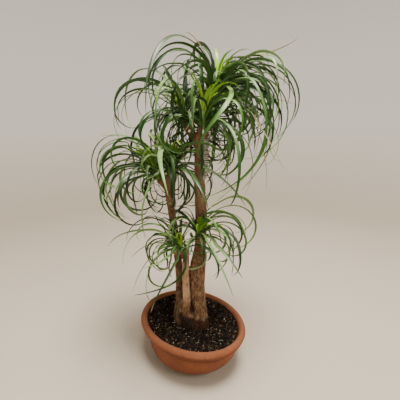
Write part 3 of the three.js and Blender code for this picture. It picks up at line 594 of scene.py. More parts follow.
def barkMaterial():
    # Living bark: grey-brown cork split lengthwise below, redder and ringed above; dry and matt
    material, tree, shader = newMaterial("corkyBark")
    place = addNode(tree, "TexCoord"), "Object"
    marks = addNode(tree, "Attribute", {"attribute_name": "barkMarks"})
    tones = addNode(tree, "Attribute", {"attribute_name": "barkTones"})
    mark = addNode(tree, "SeparateColor", {}, {"Color": marks})
    tone = addNode(tree, "SeparateColor", {}, {"Color": tones})
    stretch = addNode(tree, "Mapping", {"Scale": (260.0, 260.0, 60.0)}, {"Vector": place})
    grain = addNode(tree, "TexNoise", {"Scale": 1.0, "Detail": 5.0, "Roughness": 0.65},
                    {"Vector": stretch})  # fibres 4 mm across, 16 mm long
    patches = addNode(tree, "TexNoise", {"Scale": 38.0, "Detail": 4.0}, {"Vector": place})
    ramps = {name: addNode(tree, "ValToRGB", {"stops": stops}, {"Fac": grain})
             for name, stops in barkTones.items()}
    middle = addNode(tree, "MapRange", {"From Min": 0.5, "From Max": 1.0}, {"Value": (tone, "Green")})
    # painted shade: the thin left stem, which stands in shadow, is darkened by about a third, the right stem
    # barely
    shaded = addNode(tree, "MapRange", {"From Max": 0.5, "To Min": 0.34, "To Max": 0.03},
                     {"Value": (tone, "Green")})  # the thin left stem is the darkest
    darker = addNode(tree, "Mix", {"data_type": "RGBA", "B": "#2a1d14"},
                     {"Factor": shaded, "A": ramps["grey"]})
    cork = addNode(tree, "Mix", {"data_type": "RGBA"}, {"Factor": middle, "A": darker, "B": ramps["tan"]})
    living = addNode(tree, "Mix", {"data_type": "RGBA"},
                     {"Factor": (mark, "Red"), "A": ramps["ringed"], "B": cork})
    blotch = addNode(tree, "ValToRGB", {"stops": [(0.4, "#5f4630"), (0.62, "#a58a66")]}, {"Fac": patches})
    varied = addNode(tree, "Mix", {"data_type": "RGBA", "Factor": 0.28}, {"A": living, "B": blotch})
    ringDark = addNode(tree, "Math", {"operation": "MULTIPLY", 1: 0.62}, {0: (mark, "Green")})
    scars = addNode(tree, "Mix", {"data_type": "RGBA", "B": "#3a241a"}, {"Factor": ringDark, "A": varied})
    # cracks and dark eyes, with painted shade in the creases between stems and on the patch
    cracksAndShade = addNode(tree, "Mix", {"data_type": "RGBA", "B": "#2b1c13"},
                     {"Factor": (mark, "Blue"), "A": scars})
    collar = addNode(tree, "Math", {"operation": "MULTIPLY", 1: 0.9}, {0: (marks, "Alpha")})
    rooted = addNode(tree, "Mix", {"data_type": "RGBA"},
                     {"Factor": (tone, "Blue"), "A": ramps["fibres"], "B": ramps["redRoot"]})
    warm = addNode(tree, "Math", {"operation": "MAXIMUM"}, {0: collar, 1: (tone, "Blue")})
    foot = addNode(tree, "Mix", {"data_type": "RGBA"}, {"Factor": warm, "A": cracksAndShade, "B": rooted})
    paper = addNode(tree, "Mix", {"data_type": "RGBA"},
                    {"Factor": (tone, "Red"), "A": foot, "B": ramps["papery"]})
    bump = addNode(tree, "Bump", {"Strength": 0.7, "Distance": 0.0012}, {"Height": grain})
    setNode(tree, shader, {"Roughness": 0.92, "Specular IOR Level": 0.2}, {"Base Color": paper, "Normal": bump})
    return material


trunk = makeTrunk()
finishPiece(trunk, barkMaterial(), "trunk")
print("trunk done:", len(trunk.data.polygons), "faces")


paperPlan = {
    "low": 636, "high": 778, "spacing": 5.7, "thickness": 4.3,
    "facing": -14, "spread": 66,         # degrees from the viewer's right, and to either side of it
    "inner": 12, "outer": (25.5, 31), "seed": 57,
}


def makePapery():
    # dried bases of lost leaves: thin ragged layers, each bent round the tall stem
    plan = paperPlan
    bpy.ops.object.select_all(action="DESELECT")
    bpy.ops.mesh.primitive_grid_add(x_subdivisions=16, y_subdivisions=3, size=2)
    layer = bpy.context.object
    body = layer.modifiers.new("body", "SOLIDIFY")
    body.thickness = 1
    body.offset = 0
    bpy.ops.object.modifier_apply(modifier=body.name)
    form = readPoints(layer) * mm
    layerFaces = [tuple(p.vertices) for p in layer.data.polygons]
    bpy.data.objects.remove(layer)
    draw = drawFrom(plan["seed"])
    stem = smoothLine(stemLines["right"], 8)
    points, faces, tones = [], [], []
    heights = np.arange(plan["low"], plan["high"], plan["spacing"])
    for number, height in enumerate(heights):
        ends = min(1, (number + 2) / 6, (len(heights) - number + 1) / 5)
        middle = plan["facing"] + draw(-7, 7)
        spread = plan["spread"] * draw(0.8, 1.05) * ends
        outer = draw(*plan["outer"]) - 4 * (1 - ends)
        tilt, sag = draw(-1.6, 1.6), draw(0.2, 2.2)
        u, v, side = form[:, 0], form[:, 1] / 2 + 0.5, np.sign(form[:, 2])
        angle = np.radians(middle + spread * u)
        ragged = np.array([noiseAt(3 * a, 0.8 * number, 7) for a in angle])
        reach = plan["inner"] + (outer * (1 - 0.3 * np.abs(u) ** 3) + 2.6 * ragged - plan["inner"]) * v
        centre = [np.interp(height, stem[:, 2], stem[:, axis]) for axis in (0, 1)]
        thick = plan["thickness"] * (1 - 0.35 * v) * (1 - 0.5 * u ** 4)
        rise = height + tilt * u - sag * v ** 2 + side * thick / 2 + 0.5 * ragged
        start = len(points) * len(form)
        points.append(np.c_[centre[0] + reach * np.cos(angle), centre[1] + reach * np.sin(angle), rise])
        faces += [tuple(start + k for k in f) for f in layerFaces]
        tones.append(np.c_[np.full(len(form), draw()), v, (side + 1) / 2, np.ones(len(form))])
    papery = meshFrom("dryLeafBases", np.vstack(points), faces, 40)
    markPoints(papery, "layerTone", np.vstack(tones))
    return papery


def paperyMaterial():
    # Dead leaf base, sun-bleached and fibrous: matt, grey-cream, browner towards the stem
    material, tree, shader = newMaterial("dryLeafBase")
    place = addNode(tree, "TexCoord"), "Object"
    tone = addNode(tree, "Attribute", {"attribute_name": "layerTone"})
    part = addNode(tree, "SeparateColor", {}, {"Color": tone})
    fibre = addNode(tree, "Mapping", {"Scale": (180.0, 180.0, 700.0)}, {"Vector": place})
    streaks = addNode(tree, "TexNoise", {"Scale": 1.0, "Detail": 4.0}, {"Vector": fibre})
    pale = addNode(tree, "ValToRGB", {"stops": [(0.3, "#8d8570"), (0.5, "#b5ae9b"), (0.7, "#cfcabb")]},
                   {"Fac": streaks})
    own = addNode(tree, "ValToRGB", {"stops": [(0.0, "#9d937c"), (1.0, "#cdc9bc")]}, {"Fac": (part, "Red")})
    mixed = addNode(tree, "Mix", {"data_type": "RGBA", "Factor": 0.4}, {"A": pale, "B": own})
    inner = addNode(tree, "ValToRGB", {"stops": [(0.35, 1.0), (0.85, 0.0)]}, {"Fac": (part, "Green")})
    rooted = addNode(tree, "Mix", {"data_type": "RGBA", "B": "#4b3528"}, {"Factor": inner, "A": mixed})
    bump = addNode(tree, "Bump", {"Strength": 0.4, "Distance": 0.0005}, {"Height": streaks})
    setNode(tree, shader, {"Roughness": 0.9, "Specular IOR Level": 0.2}, {"Base Color": rooted, "Normal": bump})
    return material


finishPiece(makePapery(), paperyMaterial())
print("dry leaf bases done")


# Soil: dark moist compost with bark chips, pale grit and fibres

soilPlan = {
    "level": 122, "mound": 3.0, "relief": 3.0, "heap": 6.5, "edge": 24.9, "sides": 140, "rings": 56,
    "lumps": ((15, 1.0, 2.0), (5.5, 0.9, 5.0), (2.4, 0.5, 9.0)),    # size in mm, share, layer of noise
    "highest": 134, "chipEdge": 27,
    "deep": [[66.4, 14.3], [51.4, 22.3], [38.9, 40.3], [33.4, 74.3], [32.4, 104.3]],
}


def soilShare(x, y):
    # 0 in the middle of the bowl, 1 at its wall
    turn = math.radians(bowlPlan["turn"])
    along = (x * math.cos(turn) + y * math.sin(turn)) / (bowlPlan["halfLong"] - soilPlan["edge"])
    over = (-x * math.sin(turn) + y * math.cos(turn)) / (bowlPlan["halfShort"] - soilPlan["edge"])
    return math.hypot(along, over)


def soilBase(x, y):
    base = soilPlan["level"] + soilPlan["mound"] * math.exp(-((x + 3) / 95) ** 2 - ((y + 10) / 80) ** 2)
    return base + soilPlan["heap"] * clamped((soilShare(x, y) - 0.5) / 0.45) ** 1.3


def soilHeight(x, y):
    lumps = sum(share * noiseAt(x / wide, y / wide, layer)
                for wide, share, layer in soilPlan["lumps"])
    return soilBase(x, y) + soilPlan["relief"] * lumps


def makeSoil():
    plan = soilPlan
    rings = bowlRings(plan["deep"])
    edgeX, edgeY = bowlPlan["halfLong"] - plan["edge"], bowlPlan["halfShort"] - plan["edge"]
    rings.append((edgeX, edgeY, plan["level"] - 1))
    rings.append((edgeX + 2.5, edgeY + 2.5, plan["level"] + 7))
    for k in range(1, plan["rings"]):
        share = 1 - k / plan["rings"]
        rings.append((edgeX * share, edgeY * share, plan["level"]))
    soil = ringForm("soilBed", rings, plan["sides"], bowlPlan["turn"])
    points = readPoints(soil)
    pits = np.full(len(points), 0.5)
    for i, (x, y, z) in enumerate(points):
        if z < plan["level"] - 0.5:
            continue
        height = min(soilHeight(x, y), plan["highest"])
        points[i][2] = height if soilShare(x, y) < 0.999 else min(height, plan["level"] + 8)
        pits[i] = clamped(0.5 + (height - soilBase(x, y)) / 7)
    writePoints(soil, points)
    markPoints(soil, "soilPits", np.c_[pits, pits, pits, np.ones(len(pits))])
    smooth(soil, 70)
    return soil


def compost():
    # Potting compost, moist and loosely crumbled: almost black, with lighter bits of peat and bark
    material, tree, shader = newMaterial("moistCompost")
    place = addNode(tree, "TexCoord"), "Object"
    bits = addNode(tree, "TexVoronoi", {"Scale": 300.0, "Randomness": 1.0}, {"Vector": place})
    bitTone = addNode(tree, "SeparateColor", {}, {"Color": (bits, "Color")})  # bits of about 3 mm
    crumb = addNode(tree, "TexNoise", {"Scale": 210.0, "Detail": 6.0, "Roughness": 0.7}, {"Vector": place})
    dark = addNode(tree, "ValToRGB", {"stops": [(0.35, "#090705"), (0.55, "#1d1712"), (0.72, "#3a2d23")]},
                   {"Fac": crumb})
    flecks = addNode(tree, "ValToRGB", {"stops": [(0.0, "#0a0704"), (0.78, "#241c15"), (0.93, "#4e3c2e"),
                                                  (1.0, "#8f7758")]}, {"Fac": (bitTone, "Red")})
    mixed = addNode(tree, "Mix", {"data_type": "RGBA", "Factor": 0.45}, {"A": dark, "B": flecks})
    pits = addNode(tree, "Attribute", {"attribute_name": "soilPits"})
    # hollows hold damp and shadow
    depth = addNode(tree, "ValToRGB", {"stops": [(0.3, 0.12), (0.7, 1.0)]}, {"Fac": (pits, "Fac")})
    shaded = addNode(tree, "Mix", {"data_type": "RGBA", "blend_type": "MULTIPLY", "Factor": 1.0},
                     {"A": mixed, "B": depth})
    bump = addNode(tree, "Bump", {"Strength": 0.9, "Distance": 0.002}, {"Height": crumb})
    setNode(tree, shader, {"Roughness": 0.85, "Specular IOR Level": 0.1},
            {"Base Color": shaded, "Normal": bump})
    return material


soilBed = makeSoil()
finishPiece(soilBed, compost(), "soil")
print("soil done")

chipKinds = {
    # count, size in mm from and to, width and flatness to length, tone range, seed
    "soilCrumbs": {"count": 1250, "size": (5.0, 15.0), "wide": (0.5, 0.9), "flat": 0.6, "tones": (0.0, 0.3),
                   "seed": 301},
    "barkChips": {"count": 460, "size": (6.0, 18.0), "wide": (0.25, 0.6), "flat": 0.35, "tones": (0.2, 0.5),
                  "seed": 412},
    "paleGrit": {"count": 330, "size": (2.5, 7.0), "wide": (0.4, 0.9), "flat": 0.5, "tones": (0.6, 1.0),
                 "seed": 523},
}


def chipForm():
    # a small rough flake: an icosphere with its points pushed about
    bpy.ops.object.select_all(action="DESELECT")
    bpy.ops.mesh.primitive_ico_sphere_add(subdivisions=1, radius=mm)
    chip = bpy.context.object
    draw = drawFrom(77)
    points = readPoints(chip)
    for i in range(len(points)):
        points[i] *= draw(0.6, 1.25)
    writePoints(chip, points)
    return chip


def turned(points, spin, tilt, heading):
    # spin about z, tip over by tilt, then turn to heading
    c, s = math.cos(spin), math.sin(spin)
    first = np.array([[c, -s, 0], [s, c, 0], [0, 0, 1]])
    c, s = math.cos(tilt), math.sin(tilt)
    tip = np.array([[1, 0, 0], [0, c, -s], [0, s, c]])
    c, s = math.cos(heading), math.sin(heading)
    last = np.array([[c, -s, 0], [s, c, 0], [0, 0, 1]])
    return points @ (last @ tip @ first).T


def soilPlace(draw):
    # a random place on the soil, clear of the foot and the wall
    while True:
        share, angle = math.sqrt(draw()), draw(0, 2 * math.pi)
        a = (bowlPlan["halfLong"] - soilPlan["chipEdge"]) * share * math.cos(angle)
        b = (bowlPlan["halfShort"] - soilPlan["chipEdge"]) * share * math.sin(angle)
        turn = math.radians(bowlPlan["turn"])
        x, y = a * math.cos(turn) - b * math.sin(turn), a * math.sin(turn) + b * math.cos(turn)
        tilt = math.radians(trunkPlan["footTurn"])
        dx, dy = x - trunkPlan["footCentre"][0], y - trunkPlan["footCentre"][1]
        u = (dx * math.cos(tilt) + dy * math.sin(tilt)) / (trunkPlan["footHalf"][0] + 1)
        v = (-dx * math.sin(tilt) + dy * math.cos(tilt)) / (trunkPlan["footHalf"][1] + 1)
        if math.hypot(u, v) > 1:
            return x, y


def scatterChips(name, plan, chip):
    draw = drawFrom(plan["seed"])
    form = readPoints(chip)
    chipFaces = [tuple(p.vertices) for p in chip.data.polygons]
    points, faces, tones = [], [], []
    for _ in range(plan["count"]):
        x, y = soilPlace(draw)
        size = draw(*plan["size"]) * (0.6 + 0.4 * draw())
        half = size * 0.5
        shape = form * np.array([half, half * draw(*plan["wide"]), half * plan["flat"] * draw(0.5, 1)])
        shape = turned(shape, draw(0, 6.28), draw(-0.9, 0.9), draw(0, 6.28))
        lift = soilHeight(x, y) + draw(0.02, 0.3) * size
        start = len(points) * len(form)
        points.append(shape + np.array([x, y, lift]))
        faces += [tuple(start + v for v in f) for f in chipFaces]
        tone = draw(*plan["tones"])
        tones.append(np.tile([tone, draw(), draw(), 1], (len(form), 1)))
    piece = meshFrom(name, np.vstack(points), faces, 40)
    markPoints(piece, "chipTone", np.vstack(tones))
    return piece


def chipMaterial():
    # Composted bark, wood chips and pumice grit: dry, matt, each bit of its own shade
    material, tree, shader = newMaterial("barkAndGrit")
    place = addNode(tree, "TexCoord"), "Object"
    tone = addNode(tree, "Attribute", {"attribute_name": "chipTone"})
    part = addNode(tree, "SeparateColor", {}, {"Color": tone})
    shades = [(0.0, "#090705"), (0.22, "#281e17"), (0.38, "#4d3a2c"), (0.5, "#79604a"), (0.66, "#a08463"),
              (0.84, "#dccbaa"), (1.0, "#f6efe0")]
    shade = addNode(tree, "ValToRGB", {"stops": shades}, {"Fac": (part, "Red")})
    fine = addNode(tree, "TexNoise", {"Scale": 420.0, "Detail": 4.0}, {"Vector": place})
    dirt = addNode(tree, "ValToRGB", {"stops": [(0.35, "#1a110c"), (0.6, "#ffffff")]}, {"Fac": fine})
    mixed = addNode(tree, "Mix", {"data_type": "RGBA", "blend_type": "MULTIPLY", "Factor": 0.7},
                    {"A": shade, "B": dirt})
    bump = addNode(tree, "Bump", {"Strength": 0.5, "Distance": 0.0008}, {"Height": fine})
    setNode(tree, shader, {"Roughness": 0.9, "Specular IOR Level": 0.15}, {"Base Color": mixed, "Normal": bump})
    return material


chip = chipForm()
chipFinish = chipMaterial()
for name, plan in chipKinds.items():
    finishPiece(scatterChips(name, plan, chip), chipFinish)
bpy.data.objects.remove(chip)
print("chips done")

fibrePlan = {"count": 42, "length": (8, 26), "radius": 0.4, "points": 9, "seed": 631}


def makeFibres():
    # dead roots lie curled on the compost: one curve with many splines, turned into a mesh
    plan = fibrePlan
    draw = drawFrom(plan["seed"])
    curve = bpy.data.curves.new("rootFibres", "CURVE")
    curve.dimensions = "3D"
    curve.bevel_depth = plan["radius"] * mm
    curve.bevel_resolution = 1
    curve.use_fill_caps = True
    tones = []
    for _ in range(plan["count"]):
        x, y = soilPlace(draw)
        step = draw(*plan["length"]) / (plan["points"] - 1)
        way, bend, arch = draw(0, 2 * math.pi), draw(-0.45, 0.45), draw(0.5, 4)
        spline = curve.splines.new("POLY")
        spline.points.add(plan["points"] - 1)
        for k, point in enumerate(spline.points):
            share = k / (plan["points"] - 1)
            rise = soilHeight(x, y) if soilShare(x, y) < 0.97 else 128
            point.co = (x * mm, y * mm, (rise + 1.2 + 4 * arch * share * (1 - share)) * mm, 1)
            point.radius = 1.2 - 0.7 * share
            x, y = x + step * math.cos(way), y + step * math.sin(way)
            way += bend
        tones.append(draw(0.45, 0.95))
    fibres = bpy.data.objects.new("rootFibres", curve)
    bpy.context.collection.objects.link(fibres)
    pick(fibres)
    bpy.ops.object.convert(target="MESH")
    fibres = bpy.context.object
    each = len(fibres.data.vertices) // plan["count"]
    shades = np.repeat(tones, each)
    markPoints(fibres, "chipTone", np.c_[shades, shades, shades, np.ones(len(shades))])
    smooth(fibres, 60)
    return fibres


finishPiece(makeFibres(), chipFinish)
print("root fibres done")


# Foliage: strap leaves that rise from each head, turn over and hang

headPlans = {
    # foot of the core, lean (direction, angle from upright), core (height, radius), leaves, seed,
    # size, limits of the seeded leaves (lowest x, highest x, highest z), the leaves added here, and
    # how much lighter the young ones are than others
    "A": {"at": (35, -18, 785), "lean": (350, 10), "core": (36, 15), "leaves": 5, "seed": 11,
          "size": 0.75, "reach": (-110, 285, 930), "more": 62, "young": 9},
    "B": {"at": (64, 34, 818), "lean": (20, 14), "core": (95, 13), "leaves": 2, "seed": 23,
          "size": 0.74, "reach": (-120, 310, 985), "more": 88, "young": 9},
    "C": {"at": (-10, 2, 790), "lean": (170, 16), "core": (34, 14), "leaves": 4, "seed": 37,
          "size": 0.66, "reach": (-232, 60, 925), "more": 40, "young": 8, "paler": 0.2},
    "D": {"at": (-96, -12, 628), "lean": (175, 24), "core": (46, 12.5), "leaves": 6, "seed": 41,
          "size": 0.68, "reach": (-290, 0, 760), "more": 34, "young": 7},
    "E": {"at": (-62, -6, 636), "lean": (60, 8), "core": (42, 12.5), "leaves": 5, "seed": 53,
          "size": 0.66, "reach": (-150, 130, 790), "more": 38, "young": 9, "paler": 0.35},
    "F": {"at": (-30, -43, 407), "lean": (215, 20), "core": (20, 9), "leaves": 4, "seed": 67,
          "size": 0.5, "reach": (-240, 60, 520), "more": 26, "young": 6, "paler": -0.25},
    "G": {"at": (22, -53, 455), "lean": (305, 26), "core": (26, 9.5), "leaves": 4, "seed": 79,
          "size": 0.55, "reach": (-70, 190, 565), "more": 26, "young": 6, "paler": -0.4},
}

longLeaves = {
    # direction, rise, length, turn, lag, drift, width, share of the core's height
    "A": [(-27, 61, 220, 165, 1.6, -18, 9, 0.6), (37, 41, 320, 150, 1.7, 22, 9, 0.1),
          (27, 36, 280, 140, 1.5, 28, 9, 0.1), (-42, 9, 240, 175, 1.1, -56, 9, 0.1),
          (45, 6, 370, 140, 1.3, 14, 8, 0.2), (-94, -32, 280, 150, 1.3, 14, 10, 0.7),
          (-100, 56, 240, 145, 1.4, 10, 12, 0.2), (95, 89, 260, 85, 1.3, 2, 10, 0.7),
          (-32, 59, 220, 160, 1.4, -18, 10, 0.1), (203, 47, 120, 135, 1.1, 0, 10, 0.5),
          (-27, 26, 250, 185, 0.7, -52, 9, 0.4), (-62, 27, 440, 205, 1.1, -26, 9, 0.1),
          (-3, 23, 170, 125, 1.7, 0, 10, 0.2), (31, 43, 310, 155, 1.3, 16, 13, 0.1),
          (-50, -16, 140, 110, 1.3, 2, 9, 0.4), (135, 89, 400, 175, 1.3, -20, 10, 0.6),
          (24, 87, 300, 110, 1.1, 14, 11, 0.4), (108, 89, 280, 115, 1.8, -26, 12, 1),
          (28, 88, 260, 115, 1.3, 94, 12, 0.4), (24, 89, 260, 105, 0.9, 92, 12, 0.1),
          (20, 89, 260, 100, 0.6, 98, 12, 0.1), (129, 89, 270, 135, 1.5, -76, 12, 0.2)],
    "B": [(-12, 81, 430, 205, 1.1, -8, 12, 0.4), (4, 32, 350, 145, 1.6, 10, 10, 0.9),
          (-21, 78, 520, 265, 0.9, 22, 10, 0.4), (27, 47, 410, 175, 1.9, 36, 10, 0.7),
          (-63, 56, 350, 170, 1.3, 22, 12, 0.5), (60, 89, 590, 195, 1.1, -90, 9, 0.1),
          (-37, 60, 280, 200, 1.3, -22, 9, 0.5), (-31, 9, 310, 135, 1.2, -42, 9, 0.8),
          (34, 12, 540, 190, 1.8, 90, 8, 0.9), (-62, 58, 570, 230, 0.7, 90, 9, 0.9),
          (135, 89, 270, 195, 1.9, -22, 13, 0.8), (235, 89, 500, 180, 0.8, 20, 10, 0.7),
          (216, 89, 330, 180, 1.3, -14, 10, 0.6), (161, 89, 440, 215, 1.2, -18, 12, 0.6),
          (24, 68, 270, 160, 1.2, 18, 10, 0.5), (31, 54, 310, 120, 1.6, 30, 8, 0.3),
          (28, 49, 300, 130, 1.5, 24, 9, 0.4), (7, 47, 210, 150, 1.3, 12, 10, 0.4),
          (16, 37, 230, 150, 1.6, 30, 9, 0.1), (-17, 31, 170, 130, 1.4, -4, 7, 0.1),
          (-56, 49, 270, 230, 1.8, -32, 10, 0.6), (-68, 52, 170, 160, 1.3, 10, 9, 0.6),
          (39, 77, 200, 50, 1.1, 22, 10, 0.4), (63, 80, 220, 65, 1.3, 24, 12, 0.5),
          (72, 89, 450, 145, 1.1, -90, 7, 0.1), (-94, 1, 210, 195, 1.3, -4, 10, 0.5),
          (2, 47, 570, 235, 0.7, 78, 9, 0.9), (69, -40, 260, 155, 0.8, 24, 12, 0.1),
          (151, 89, 300, 280, 2.2, -84, 13, 0.8), (-29, 71, 480, 240, 1.1, 40, 11, 0.5),
          (-29, 78, 640, 270, 0.5, 124, 10, 0.9), (-69, 0, 360, 70, 0.9, -200, 12, 1),
          (265, 89, 410, 145, 0.7, -58, 12, 0.1), (-128, 65, 300, 220, 1, 98, 11, 0.6)],
    "C": [(89, 68, 500, 175, 2, 90, 10, 0.1), (148, 74, 520, 240, 1.5, -28, 9, 0.6),
          (183, 86, 380, 220, 1.3, 22, 9, 0.1), (186, 81, 320, 205, 1.1, 6, 9, 0.5),
          (252, 89, 350, 185, 1, 10, 10, 0.1), (120, 13, 270, 45, 1.1, 48, 10, 0.9),
          (-228, 67, 410, 125, 1.5, -28, 9, 0.5), (134, 32, 150, 120, 1, 8, 10, 0.9),
          (214, 54, 90, 145, 1.2, 0, 9, 0.2), (-70, 19, 170, 215, 1.3, -32, 10, 0.9),
          (175, 38, 90, 115, 1.1, 2, 11, 0.8), (190, 37, 90, 120, 1.3, 0, 10, 0.3),
          (249, 17, 100, 220, 1.4, 56, 11, 0.5), (125, 50, 340, 85, 1.6, -24, 11, 0.9),
          (147, 80, 270, 105, 1.5, -82, 12, 1), (76, 89, 270, 120, 1.7, 16, 12, 1)],
    "D": [(154, 70, 480, 225, 1.3, 10, 12, 0.4), (192, 73, 280, 195, 1.6, 6, 10, 0.3),
          (195, 78, 320, 255, 1.3, -6, 9, 0.5), (170, 52, 340, 225, 1, -24, 12, 0.3),
          (159, 20, 290, 130, 1.2, -4, 9, 0.5), (225, 35, 210, 150, 1.4, 26, 10, 0.1),
          (245, -28, 260, 150, 1.6, 44, 12, 0.2), (177, 66, 320, 245, 1.3, -14, 8, 0.7),
          (147, 18, 290, 105, 1.1, 0, 10, 0.9), (237, 38, 210, 115, 1.2, 6, 9, 0.3),
          (266, 31, 240, 80, 1.3, 30, 9, 0.5), (153, 76, 260, 115, 1.3, -92, 12, 0.3),
          (69, 89, 260, 150, 1.4, 52, 11, 0.7)],
    "E": [(-83, 47, 270, 220, 1.2, 14, 12, 0.8), (-64, 25, 270, 90, 1.3, 6, 13, 0.3),
          (-40, 17, 290, 75, 1, 20, 10, 0.9), (-9, 81, 340, 210, 1, -4, 9, 0.8),
          (-99, 65, 310, 125, 0.7, 44, 13, 0.9), (-57, 35, 240, 105, 1.4, -8, 10, 0.1),
          (23, 68, 180, 95, 1.5, 6, 9, 0.1), (-36, -8, 130, 80, 1.4, 18, 9, 0.4),
          (-83, 17, 220, 185, 1.2, 10, 14, 0.8), (164, 43, 160, 145, 1.2, 0, 10, 0.8),
          (-49, 73, 280, 120, 0.9, 22, 12, 0.5), (-72, 24, 300, 85, 1.1, 14, 14, 0.9),
          (59, 82, 260, 155, 1.6, 94, 12, 0.8), (27, 66, 270, 105, 1.7, 100, 12, 0.1),
          (144, 61, 260, 125, 1.5, -96, 11, 0.9)],
    "F": [(162, 74, 170, 70, 1.1, -44, 9, 0.1), (183, 62, 200, 180, 2, -12, 7, 0.9),
          (194, 72, 280, 125, 0.7, -56, 6, 0.9), (243, 38, 260, 95, 1.2, 2, 8, 0.3),
          (198, 31, 160, 85, 1.2, 2, 7, 0.9), (231, 29, 250, 160, 1.2, 22, 7, 0.4),
          (252, 40, 170, 205, 1.1, 14, 7, 0.9), (272, 16, 270, 90, 1.5, -70, 7, 0.5),
          (159, 87, 120, 85, 1.3, -14, 12, 0.5), (251, -5, 150, 5, 1.3, -64, 9, 0.9),
          (13, -40, 290, 165, 0.7, 90, 9, 0.9), (-28, 38, 220, 185, 1.5, -40, 9, 0.1),
          (153, 86, 120, 95, 1.3, -16, 13, 0.9), (104, 89, 150, 125, 1.3, -4, 10, 0.2),
          (200, 60, 110, 185, 1.4, 6, 10, 0.1)],
    "G": [(4, 72, 370, 270, 1.3, 0, 9, 0.9), (-27, 71, 230, 200, 1.5, -20, 7, 0.9),
          (-42, 79, 250, 175, 1.2, 2, 7, 0.9), (-50, 38, 150, 85, 1.1, 22, 9, 0.9),
          (-67, 11, 230, 55, 1.2, 22, 10, 0.9), (-74, 20, 250, 80, 0.8, 26, 7, 0.9),
          (30, 53, 290, 210, 0.7, -8, 7, 0.9), (243, -1, 110, 25, 1.3, -22, 7, 0.1),
          (51, 67, 380, 265, 1.7, -6, 10, 0.5), (43, 89, 320, 250, 0.9, -90, 9, 0.5),
          (-70, 84, 200, 190, 1.3, 34, 8, 0.5), (-25, 24, 100, 85, 1.3, 8, 7, 0.1),
          (140, 56, 160, 90, 1.3, -28, 9, 0.5), (120, 88, 190, 180, 1.3, 20, 7, 0.2),
          (242, 17, 170, 185, 1.3, 48, 9, 0.3), (31, 89, 150, 95, 1, 0, 10, 0.1),
          (11, 76, 210, 170, 1.1, 14, 9, 0.1), (-78, 29, 140, 190, 1.3, 0, 9, 0.3)],
}

leafPlan = {
    "golden": 137.508,       # degrees from each leaf to the next round a head
    "points": 41, "hearts": 5, "columns": 2, "rows": 26,
    "clearance": 15, "rounds": 80, "moreClearance": 9, "moreRounds": 40,
    "depth": (-240, 255), "viewer": 900,     # mm, nearest and furthest y, and how far off the viewer is
    "ribThickness": 1.3, "edgeThickness": 0.5,
    "rootRun": (25, 160), "rootSpace": 5,    # mm along a leaf that stay clear of other stems, and by how much
    "turns": (0, 14, -14, 28, -28, 42, -42),     # degrees that a leaf is turned to get clear
    "bareStems": (-38, 340, 50),             # y, z and x within which no added leaf hangs
    "pipeFoot": (131.5, 28.5),               # soil level at the stems, and their widest radius above it
    "pipeSpace": 9, "held": (15, 60),        # mm clear of a stem, and the run over which a leaf gets free
    "touching": (70, 28), "step": 1.3,       # mm of root in which leaves of a head may touch
    "narrowed": (380, 8, 0.84),              # leaves longer and wider than this are narrower by this share
}
wearPlan = {
    # a third of the leaves are dry at the tip, a few of the oldest further down, stray ones from halfway
    "share": 0.35, "from": (0.9, 0.97), "old": 0.8, "oldShare": 0.3, "oldFrom": (0.86, 0.94), "strayFrom": 0.5,
    "never": 1.2, "fade": 0.05,
}

# long thin stray leaves, dry from halfway, in the same order of values
strayLeaves = [
    ("B", (220, 89, 240, 110, 1.2, 40, 4, 0.7)), ("B", (36, 48, 310, 45, 0.8, -132, 4, 1)),
    ("B", (18, 6, 285, 20, 1.3, 2, 4, 0.6)), ("D", (117, 41, 300, 50, 1.1, 72, 4, 1)),
    ("B", (-17, -20, 370, 70, 0.6, 28, 4, 1)), ("B", (-63, -13, 360, 45, 0.7, 18, 4, 1)),
]


def heading(direction, rise):
    flat = math.cos(math.radians(rise))
    return np.array([flat * math.cos(math.radians(direction)), flat * math.sin(math.radians(direction)),
                     math.sin(math.radians(rise))])


def headAxes(head):
    axis = heading(head["lean"][0], 90 - head["lean"][1])
    across = np.cross([0, 1, 0], axis)
    across /= np.linalg.norm(across)
    return axis, across, np.cross(axis, across)


def headPoint(head, up, out, direction):
    return np.array(head["at"], float) + headAxes(head)[0] * up + np.asarray(direction) * out


def leafLine(root, direction, rise, length, turn, lag, drift):
    steps = leafPlan["points"] - 1
    share = (np.arange(steps) + 0.5) / steps
    way = np.radians(direction + drift * share ** 2)
    up = np.radians(rise - turn * share ** lag)
    step = np.c_[np.cos(up) * np.cos(way), np.cos(up) * np.sin(way), np.sin(up)] * length / steps
    return np.asarray(root) + np.vstack([np.zeros((1, 3)), np.cumsum(step, axis=0)])


def makePipes():
    # what leaves keep clear of: stems from the soil up, and the cores of other heads
    level, widest = leafPlan["pipeFoot"]
    pipes = []
    for line in stemLines.values():
        rows = [[*row[:2], max(row[2], level), min(row[3], widest)] for row in line]
        for a, b in zip(rows[:-1], rows[1:]):
            pipes.append((np.array(a[:3], float), np.array(b[:3], float), max(a[3], b[3]), ""))
    for name, head in headPlans.items():
        top = headPoint(head, head["core"][0] + 25, 0, headAxes(head)[0])
        pipes.append((np.array(head["at"], float), top, head["core"][1], name))
    return pipes


def fromPipe(points, pipe, space):
    start, end, radius, _ = pipe
    run = end - start
    t = np.clip((points - start) @ run / (run @ run), 0, 1)
    away = points - start - t[:, None] * run
    apart = np.maximum(np.linalg.norm(away, axis=1), 1e-6)
    return away, apart, radius + space


def freeLine(name, root, direction, rise, length, turn, lag, drift):
    reach = length * np.arange(leafPlan["points"]) / (leafPlan["points"] - 1)
    start, end = leafPlan["rootRun"]
    near = (reach >= start) & (reach <= end)
    first = None
    for more in leafPlan["turns"]:
        line = leafLine(root, direction + more, rise, length, turn, lag, drift)
        first = line if first is None else first
        blocked = False
        for pipe in pipes:
            if pipe[3] == name:
                continue
            _, apart, wanted = fromPipe(line[near], pipe, leafPlan["rootSpace"])
            if (apart < wanted).any():
                blocked = True
                break
        if not blocked:
            return line
    return first


